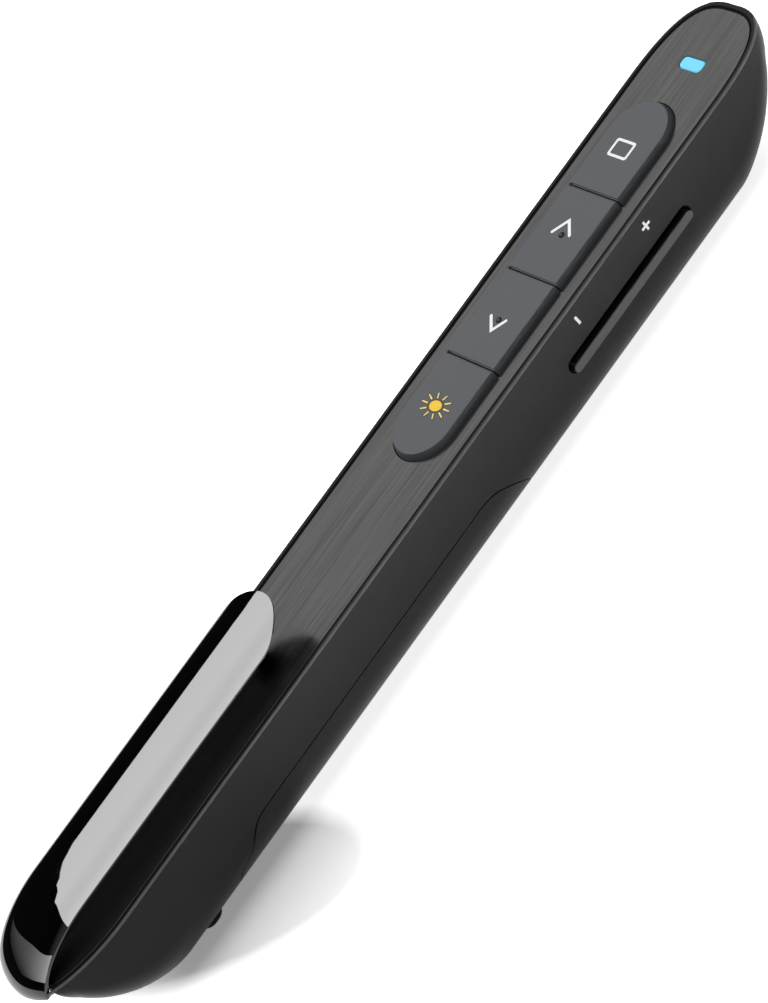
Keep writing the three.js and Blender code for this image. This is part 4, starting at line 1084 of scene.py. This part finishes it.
# CAD nodes that stay, by the finish they get
NODE_LOOKS = (
    (INNER_LOOK, ["carrier_frame"]),
    (STEEL_LOOK, [
        "frame_screw_front", "frame_screw_rear", "crystal", "rocker_pin", "volume_down_switch",
        "volume_up_switch", "power_switch_body", "negative_contact", "positive_contact",
        "usb_receiver_plug", "clip_pin", "battery_spring",
    ] + [key + "_switch" for key in KEYS]),
    (CHIP_LOOK, ["radio_chip", "usb_receiver_cap"] + [key + "_switch_button" for key in KEYS]),
    (LED_LOOK, ["status_led"]),
    (BOARD_LOOK, ["main_board", "volume_board", "power_board"]),
    (FILM_LOOK, ["switch_ribbon"]),
    (CELL_LOOK, ["battery"]),
    (BRASS_LOOK, ["laser_barrel"]),
    (GILT_LOOK, ["laser_diode"]),
    (LENS_LOOK, ["laser_lens"]),
)


def finish_mesh(mesh, look):
    """Gives a mesh its finish and smooth shading that keeps sharp edges."""
    mesh.materials.clear()
    mesh.materials.append(look)
    mesh.shade_smooth()
    mesh.set_sharp_from_angle(angle=SMOOTH_ANGLE)


def dress_nodes():
    """Gives the CAD nodes that stay their finish."""
    for look, names in NODE_LOOKS:
        for name in names:
            finish_mesh(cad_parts[name].data, look)


# Pieces

def rocker_slot():
    """Slot in the right wall, with softened edges."""
    levels = [(0, -HALF + ROCKER_SLOT_DEPTH), (0, -HALF + ROCKER_SLOT_FILLET)]
    levels += [(inward, -HALF + down) for inward, down in fillet(ROCKER_SLOT_FILLET)[1:]]
    levels.append((ROCKER_SLOT_FILLET, -HALF - OVERRUN))
    rows = []
    for grow, y in levels:
        reach = ROCKER_SLOT_HALF_HEIGHT + grow
        loop = rounded(*ROCKER, ROCKER_SLOT_HALF_LENGTH + grow, reach, reach, FINE_LOOP_STEPS)
        rows.append(at_side(loop, y))
    return skin_rows(rows)


def knob_slot():
    """Slot through the belly in which the knob's stem slides."""
    reach = KNOB_STEM_HALF + FIT_GAP
    return box(KNOB_X - reach, KNOB_X + KNOB_TRAVEL + reach, -reach, reach, -OVERRUN, WALL + FIT_GAP)


def add_housing():
    shell = cut(body_skin(), body_form(WALL, CAVITY_REAR, CAVITY_FRONT, FRAME_TOP + FIT_GAP))
    shell = joined(shell, inner_details("housing"))
    cuts = (
        prism_y(cover_outline(COVER_GAP), -2 * HALF, 2 * HALF),
        rocker_slot(),
        bar("x", CAVITY_FRONT - WALL, NOSE.tip, APERTURE_RADIUS + RUN_GAP, 0.0, LASER_Z),
        knob_slot(),
        clip_tail_cut(),
        clip_cut(),
    )
    for tool in cuts:
        shell = cut(shell, tool)
    housing = add_piece("housing_shell", shell, "root", SHELL, ["housing"])
    # Paints shade on the walls of the rocker slot
    paint(housing.data, SLOT_SHADE_LOOK, on_shaded_slot_walls)
    # Paints a highlight on the rim's outer fillet
    paint(housing.data, RIM_HIGHLIGHT_LOOK, on_painted_rim_highlight)


def paint(mesh, material, chosen):
    """Gives a second finish to the faces whose middle, in millimetres, is chosen; here it paints shade or a
    highlight.
    """
    mesh.materials.append(material)
    for face in mesh.polygons:
        if chosen(face.center / MM):
            face.material_index = len(mesh.materials) - 1


def on_shaded_slot_walls(middle):
    """On the walls of the slot round the rocker, which get a near-black painted shade."""
    in_length = abs(middle.x - ROCKER[0]) < ROCKER_SLOT_HALF_LENGTH + ROCKER_SLOT_FILLET
    in_height = abs(middle.z - ROCKER[1]) < ROCKER_SLOT_HALF_HEIGHT + ROCKER_SLOT_FILLET
    return in_length and in_height and -HALF + ROCKER_SLOT_FILLET < middle.y < 0


def on_painted_rim_highlight(middle):
    """On the fillet between the rim's top and the side of the body, where a lighter colour paints the rim's
    highlight.
    """
    inset = (half_width(middle.x) - abs(middle.y)) * plan_normal(middle.x)[1]
    return middle.z > HEIGHT - RIM_OUTER_FILLET and inset < RIM_OUTER_FILLET


def add_battery_cover():
    hollow = body_form(WALL, CAVITY_REAR, CAVITY_FRONT, HEIGHT + OVERRUN)
    cover = cut(body_skin(), hollow)
    cover = common(cover, prism_y(cover_outline(0.0), -2 * HALF, 2 * HALF))
    cover = joined(cover, inner_details("battery_cover"))
    add_piece("battery_door", cover, "battery_cover", SHELL, ["battery_cover"])


def add_top_plate():
    edge = [(inward, PLATE_TOP - down) for inward, down in fillet(PLATE_FILLET, PLATE_FILLET_STEPS)]
    levels = [(0.0, PLATE_BOTTOM)] + edge
    groove = RIM_WIDTH + PLATE_GROOVE
    plate = skin_rows([at_height(plan_loop(groove + inset), z) for inset, z in levels])
    flared = [(0.0, PLATE_BOTTOM - OVERRUN)] + edge + [(PLATE_FILLET, PLATE_TOP + OVERRUN)]
    for loop, gap in ((pad_loop, PAD_FLARE + RUN_GAP), (light_loop, RUN_GAP)):
        plate = cut(plate, skin_rows([at_height(loop(gap + grow), z) for grow, z in flared]))
    plate = cut(cut(plate, clip_tail_cut()), clip_cut())
    add_piece("brushed_top_plate", plate, "root", PLATE_LOOK, ["top_plate"])


def light_loop(offset):
    """Outline of the status light seen from above, offset outwards."""
    return rounded(
        LIGHT_X, 0.0, LIGHT_HALF_LENGTH + offset, LIGHT_HALF_WIDTH + offset, LIGHT_CORNER + offset
    )


def add_status_light():
    levels = [(LIGHT_FLANGE, LIGHT_BOTTOM), (LIGHT_FLANGE, LIGHT_FLANGE_TOP), (0.0, LIGHT_FLANGE_TOP)]
    levels += [(-inward, PLATE_TOP - down) for inward, down in fillet(LIGHT_FILLET)]
    window = skin_rows([at_height(light_loop(offset), z) for offset, z in levels])
    add_piece("light_window", window, "root", WINDOW_LOOK, ["status_light_window"])


def add_keys():
    for index, key in enumerate(KEYS):
        add_piece(key + "_cap", key_mesh(index), key, KEY_LOOK, [key])
    add_piece("blank_symbol", square_ring(), "blank_screen_key", WHITE_LOOK)
    for name, body, chevron, nub in (
        ("next", "next_key", UP_CHEVRON, UP_NUB),
        ("previous", "previous_key", DOWN_CHEVRON, DOWN_NUB),
    ):
        add_piece(name + "_symbol", thin_z(stroke(chevron, CHEVRON_STROKE)), body, WHITE_LOOK)
        add_piece(name + "_nub", nub_mesh(nub), body, NUB_LOOK)
    low_rise = SYMBOL_RISE / 2
    # A larger olive copy under the sun paints shade round its raised edge
    add_piece("sun_edge_shade_disc", sun_disc(SUN_EDGE_SHADE, low_rise), "laser_key", SUN_EDGE_SHADE_LOOK)
    add_piece("sun_edge_shade_rays", sun_rays(SUN_EDGE_SHADE, low_rise), "laser_key", SUN_EDGE_SHADE_LOOK)
    add_piece("sun_disc", sun_disc(0.0, SYMBOL_RISE), "laser_key", SUN_LOOK)
    add_piece("sun_rays", sun_rays(0.0, SYMBOL_RISE), "laser_key", RAY_LOOK)


def add_rocker():
    levels = [(0.0, ROCKER_ROOT)]
    levels += [(-inward, -HALF - ROCKER_PROUD + down) for inward, down in fillet(ROCKER_FILLET)]
    x, z = ROCKER
    rows = []
    for grow, y in levels:
        reach = ROCKER_HALF_HEIGHT + grow
        loop = rounded(x, z, ROCKER_HALF_LENGTH + grow, reach, reach, FINE_LOOP_STEPS)
        rows.append([(px, y, pz - ROCKER_BAR_DROP) for px, pz in loop])
    lever = skin_rows(rows)
    inside = box(x - 2 * ROCKER_HALF_LENGTH, x + 2 * ROCKER_HALF_LENGTH, ROCKER_JOIN, 0.0, 0.0, 2 * z)
    lever = joined(lever, common(node_mesh("volume_rocker"), inside))
    add_piece("volume_lever", lever, "volume_rocker", ROCKER_LOOK, ["volume_rocker"])
    reach, half = PLUS_REACH, PLUS_STROKE / 2
    cross = [
        (half, half), (half, reach), (-half, reach), (-half, half), (-reach, half), (-reach, -half),
        (-half, -half), (-half, -reach), (half, -reach), (half, -half), (reach, -half), (reach, half),
    ]
    reach, half = MINUS_REACH, MINUS_STROKE / 2
    dash = [(half, reach), (-half, reach), (-half, -reach), (half, -reach)]
    add_piece("plus_symbol", side_symbol(PLUS, cross), "root", WHITE_LOOK)
    add_piece("minus_symbol", side_symbol(MINUS, dash), "root", WHITE_LOOK)


def add_knob():
    flat_angle = math.acos(KNOB_FLAT_SHARE ** (KNOB_POWER / 2))
    dome = KNOB_PROUD / math.sin(flat_angle) ** (2 / KNOB_POWER)
    rows = []
    for i in range(KNOB_STEPS + 1):
        angle = flat_angle * i / KNOB_STEPS
        grow = math.cos(angle) ** (2 / KNOB_POWER)
        z = -SEAT_GAP - dome * math.sin(angle) ** (2 / KNOB_POWER)
        corner = KNOB_HALF_LENGTH * grow * BELLY_SHARE
        half_along, half_across = KNOB_HALF_LENGTH * grow, KNOB_HALF_WIDTH * grow
        loop = rounded(KNOB_X, 0.0, half_along, half_across, corner, FINE_LOOP_STEPS)
        rows.append(at_height(loop, z))
    corner = KNOB_HALF_LENGTH * BELLY_SHARE
    outline = rounded(KNOB_X, 0.0, KNOB_HALF_LENGTH, KNOB_HALF_WIDTH, corner, FINE_LOOP_STEPS)
    cheeks = prism_z(outline, -1.5 * SEAT_GAP, WALL)
    cheeks = cut(cheeks, body_form(-SEAT_GAP, -TAIL.chin, NOSE.chin, HEIGHT))
    reach = KNOB_STEM_HALF
    stem = box(KNOB_X - reach, KNOB_X + reach, -reach, reach, -KNOB_PROUD / 2, KNOB_STEM_TOP)
    knob = joined(joined(skin_rows(rows), cheeks), stem)
    add_piece("power_knob", knob, "power_switch_knob", SHELL, ["power_switch_knob"])


def add_aperture():
    bore, radius, chamfer = APERTURE_BORE, APERTURE_RADIUS, APERTURE_CHAMFER
    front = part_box("aperture_ring")[1].x / MM
    ring = bar("x", APERTURE_REAR, NOSE.tip, radius, 0.0, LASER_Z)
    mouth = [(bore, APERTURE_REAR - OVERRUN), (bore, front - 3 * chamfer), (radius, NOSE.tip + OVERRUN)]
    ring = cut(ring, turned("x", mouth, 0.0, LASER_Z))
    ring = common(ring, body_skin())
    add_piece("aperture_bezel", ring, "root", RING_LOOK, ["aperture_ring"])


def add_clip():
    x, length, width = CLIP_PAD
    underside = CLIP_RIM + CLIP_ARCH - CLIP_THICKNESS
    deep = underside - PLATE_TOP - CLIP_PAD_GAP
    rows = []
    for angle in quarter(CLIP_PAD_STEPS):
        share = math.cos(angle)
        z = underside - deep * math.sin(angle)
        loop = []
        for k in range(ROUND_STEPS // 2):
            turn = 4 * math.pi * k / ROUND_STEPS
            loop.append((x + length / 2 * share * math.cos(turn), width / 2 * share * math.sin(turn), z))
        rows.append(loop)
    rows = [[(px, py, underside + FIT_GAP) for px, py, _ in rows[0]]] + rows
    clip = joined(clip_blade(), skin_rows(rows))
    clip = joined(clip, clip_web(0.0, 0.0, CLIP_WEB_HALF))
    clip = joined(clip, bar("y", -CLIP_WEB_HALF, CLIP_WEB_HALF, CLIP_KNUCKLE_RADIUS, *CLIP_PIN))
    clip = cut(clip, bar("y", -2 * HALF, 2 * HALF, CLIP_PIN_RADIUS + RUN_GAP, *CLIP_PIN))
    return add_piece("gloss_clip", clip, "pocket_clip", CLIP_LOOK, ["pocket_clip"])


# Camera, floor and lights

CAMERA_PLACE = (-71.811, -352.954, 319.028)
CAMERA_RIGHT = (0.58195773, -0.59488763, -0.55446723)
CAMERA_UP = (0.79940736, 0.29335765, 0.52429873)
CAMERA_BACK = (-0.14924163, -0.74836488, 0.6462793)
CAMERA_LENS = 136.27
SENSOR = 36.0


def add_camera():
    data = bpy.data.cameras.new("camera")
    data.lens = CAMERA_LENS
    data.sensor_width = SENSOR
    data.clip_start = 0.01
    data.clip_end = 20.0
    camera = bpy.data.objects.new("camera", data)
    bpy.context.scene.collection.objects.link(camera)
    turn = Matrix((CAMERA_RIGHT, CAMERA_UP, CAMERA_BACK)).transposed().to_4x4()
    camera.matrix_world = Matrix.Translation(Vector(CAMERA_PLACE) * MM) @ turn
    bpy.context.scene.camera = camera


# The floor touches these two points of the pen, as (x, z)
KNOB_LOW = (KNOB_X, -SEAT_GAP - KNOB_PROUD)
BELLY_LOW = (59.2, 0.0)
FLOOR_DROP = 0.02
FLOOR_HALF = 4000.0

# How bright the floor looks, and the soft shadow painted into its glow beside the tail, in the floor's own
# coordinates
FLOOR_GLOW = 0.85
SHADED_GLOW = 0.28
SHADE_PLACE = (-1.0, 3.4, 0.0)
SHADE_TURN = math.radians(-50)
SHADE_REACH = (33.0, 12.0, 33.0)
SHADE_FULL = 0.2

# The world: its glow, the glow that gloss sees on the right side, and where along -Y that starts
WORLD_GLOW = 0.03
WORLD_GLOSS_GLOW = 0.5
WORLD_PALE_SIDE = (-0.2, -0.5)

# Lamps that shine straight down: where they hang, their size and glow, where 1 is white
SKY_PLACE = (0, 1400, 1300)
SKY_SIZE = (2800, 4200)
SKY_GLOW = 1.6
PATCH_PLACE = (132, -163, 300)
PATCH_SIZE = (335, 274)
PATCH_GLOW = 2.6
PATCH_SPREAD = 6.0
WIDEST_SPREAD = 180.0

# Cards that the clip's gloss shows: x and y range, glow at each end and how it rises
CARD_HEIGHT = 500.0
STRIP_CARD = ((-225, 220), (-650, 575), (8.9, 14.0), 0.6)
STRIP_SLANT = 100.0
STRIP_CORNER_CUT = 604.0
REAR_CARD = ((-1400, -440), (-350, 1150), (0.2, 7.5), 1.8)
CORNER_SLOPE = 0.8
NO_CUT = 1e5


def painted_shadow_share(finish):
    """1 at the middle of the shadow painted beside the tail, 0 outside it."""
    mapping = add_node(finish.tree, "Mapping", {
        "Vector": finish.place,
        "Location": [part * MM for part in SHADE_PLACE],
        "Rotation": (0, 0, SHADE_TURN),
        "Scale": [part * MM for part in SHADE_REACH],
    }, vector_type="TEXTURE")
    ball = add_node(
        finish.tree, "TexGradient", {"Vector": mapping.outputs["Vector"]}, gradient_type="SPHERICAL"
    )
    return ball.outputs["Fac"]


def see_brighter(finish):
    """Lifts the pale floor for rays from the camera, from gloss and through glass only, and lifts it less
    beside the tail, which paints a shadow there.
    """
    tree = finish.tree
    path = add_node(tree, "LightPath", {})
    seen = path.outputs["Is Camera Ray"]
    for other in ("Is Glossy Ray", "Is Transmission Ray"):
        seen = calculated(tree, "MAXIMUM", seen, path.outputs[other])
    level = spread(tree, painted_shadow_share(finish), 0.0, SHADE_FULL, FLOOR_GLOW, SHADED_GLOW)
    finish.shader.inputs["Emission Color"].default_value = WHITE
    finish.feed(calculated(tree, "MULTIPLY", seen, level), "Emission Strength")


def add_floor():
    """Pale floor under the knob and the front of the belly, on which the pen lies."""
    slope = math.atan2(BELLY_LOW[1] - KNOB_LOW[1], BELLY_LOW[0] - KNOB_LOW[0])
    finish = Finish("pale_floor", linear(250, 250, 250), 0.9, gloss_level=0.1)
    finish.bump(finish.noise(40.0, detail=3.0), 0.02, 0.1)
    see_brighter(finish)
    mesh = bpy.data.meshes.new("floor")
    side = FLOOR_HALF * MM
    corners = [(-side, -side, 0), (side, -side, 0), (side, side, 0), (-side, side, 0)]
    mesh.from_pydata(corners, [], [(0, 1, 2, 3)])
    mesh.materials.append(finish.material)
    floor = bpy.data.objects.new("floor", mesh)
    bpy.context.scene.collection.objects.link(floor)
    place = Vector((KNOB_LOW[0], 0, KNOB_LOW[1] - FLOOR_DROP)) * MM
    floor.matrix_world = Matrix.Translation(place) @ Matrix.Rotation(-slope, 4, "Y")
    floor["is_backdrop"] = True


def link_light(source, piece, state):
    """Makes a light shine on one piece only, or on all but that piece."""
    receivers = bpy.data.collections.new(source.name + "_receivers")
    receivers.objects.link(piece)
    receivers.collection_objects[0].light_linking.link_state = state
    source.light_linking.receiver_collection = receivers


def add_lamp(name, place, size, glow, piece, state="EXCLUDE", spread_angle=WIDEST_SPREAD):
    """Soft box over the pen; glow is its brightness, where 1 is white."""
    data = bpy.data.lights.new(name, "AREA")
    data.shape = "RECTANGLE"
    data.size, data.size_y = size[0] * MM, size[1] * MM
    data.energy = glow * math.pi * data.size * data.size_y
    data.spread = math.radians(spread_angle)
    lamp = bpy.data.objects.new(name, data)
    bpy.context.scene.collection.objects.link(lamp)
    lamp.matrix_world = Matrix.Translation(Vector(place) * MM)
    lamp.visible_camera = False
    link_light(lamp, piece, state)
    return lamp


def add_card(name, x_range, y_range, glows, power, piece, slant=0.0, corner_cut=NO_CUT):
    """Soft box that only one piece's gloss shows, with a slanted rear edge and a cut left corner.

    Its glow goes from the first to the second of glows along -Y.
    """
    place = ((x_range[0] + x_range[1]) / 2, (y_range[0] + y_range[1]) / 2, CARD_HEIGHT)
    size = (x_range[1] - x_range[0], y_range[1] - y_range[0])
    lamp = add_lamp(name, place, size, 1.0, piece, "INCLUDE")
    lamp.visible_diffuse = False
    lamp.data.use_nodes = True
    tree = lamp.data.node_tree
    position = add_node(tree, "NewGeometry", {}).outputs["Position"]
    apart = add_node(tree, "SeparateXYZ", {"Vector": position}).outputs
    share = spread(tree, apart["Y"], y_range[1] * MM, y_range[0] * MM, 0.0, 1.0)
    glow = spread(tree, calculated(tree, "POWER", share, power), 0.0, 1.0, *glows)
    edge = calculated(tree, "MULTIPLY_ADD", share, -slant * MM, (x_range[0] + slant) * MM)
    inside = calculated(tree, "GREATER_THAN", apart["X"], edge)
    corner = calculated(tree, "MULTIPLY_ADD", apart["X"], CORNER_SLOPE, corner_cut * MM)
    below = calculated(tree, "LESS_THAN", apart["Y"], corner)
    shape = calculated(tree, "MULTIPLY", inside, below)
    strength = calculated(tree, "MULTIPLY", glow, shape)
    tree.links.new(strength, tree.nodes["Emission"].inputs["Strength"])


def add_world():
    """Dim world that gloss sees pale on the right side of the pen."""
    world = bpy.data.worlds.new("studio")
    world.use_nodes = True
    tree = world.node_tree
    way = add_node(tree, "TexCoord", {}).outputs["Generated"]
    across = add_node(tree, "SeparateXYZ", {"Vector": way}).outputs["Y"]
    side = spread(tree, across, *WORLD_PALE_SIDE, 0.0, 1.0)
    pale = calculated(tree, "MULTIPLY", side, add_node(tree, "LightPath", {}).outputs["Is Glossy Ray"])
    background = tree.nodes["Background"]
    background.inputs["Color"].default_value = WHITE
    glow = spread(tree, pale, 0.0, 1.0, WORLD_GLOW, WORLD_GLOSS_GLOW)
    tree.links.new(glow, background.inputs["Strength"])
    bpy.context.scene.world = world


def add_lights(clip):
    add_world()
    add_lamp("sky_box", SKY_PLACE, SKY_SIZE, SKY_GLOW, clip)
    add_lamp("floor_patch", PATCH_PLACE, PATCH_SIZE, PATCH_GLOW, clip, spread_angle=PATCH_SPREAD)
    add_card("strip_card", *STRIP_CARD, clip, STRIP_SLANT, STRIP_CORNER_CUT)
    add_card("rear_card", *REAR_CARD, clip)


bpy.context.scene.view_settings.view_transform = "Standard"
add_camera()
dress_nodes()
add_housing()
add_battery_cover()
add_top_plate()
add_keys()
add_status_light()
add_rocker()
add_knob()
add_aperture()
gloss_clip = add_clip()
add_floor()
add_lights(gloss_clip)

boxes = {"cad": CAD_BOX, "visual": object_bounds()}
{name: [list(corner) for corner in box] for name, box in boxes.items()}
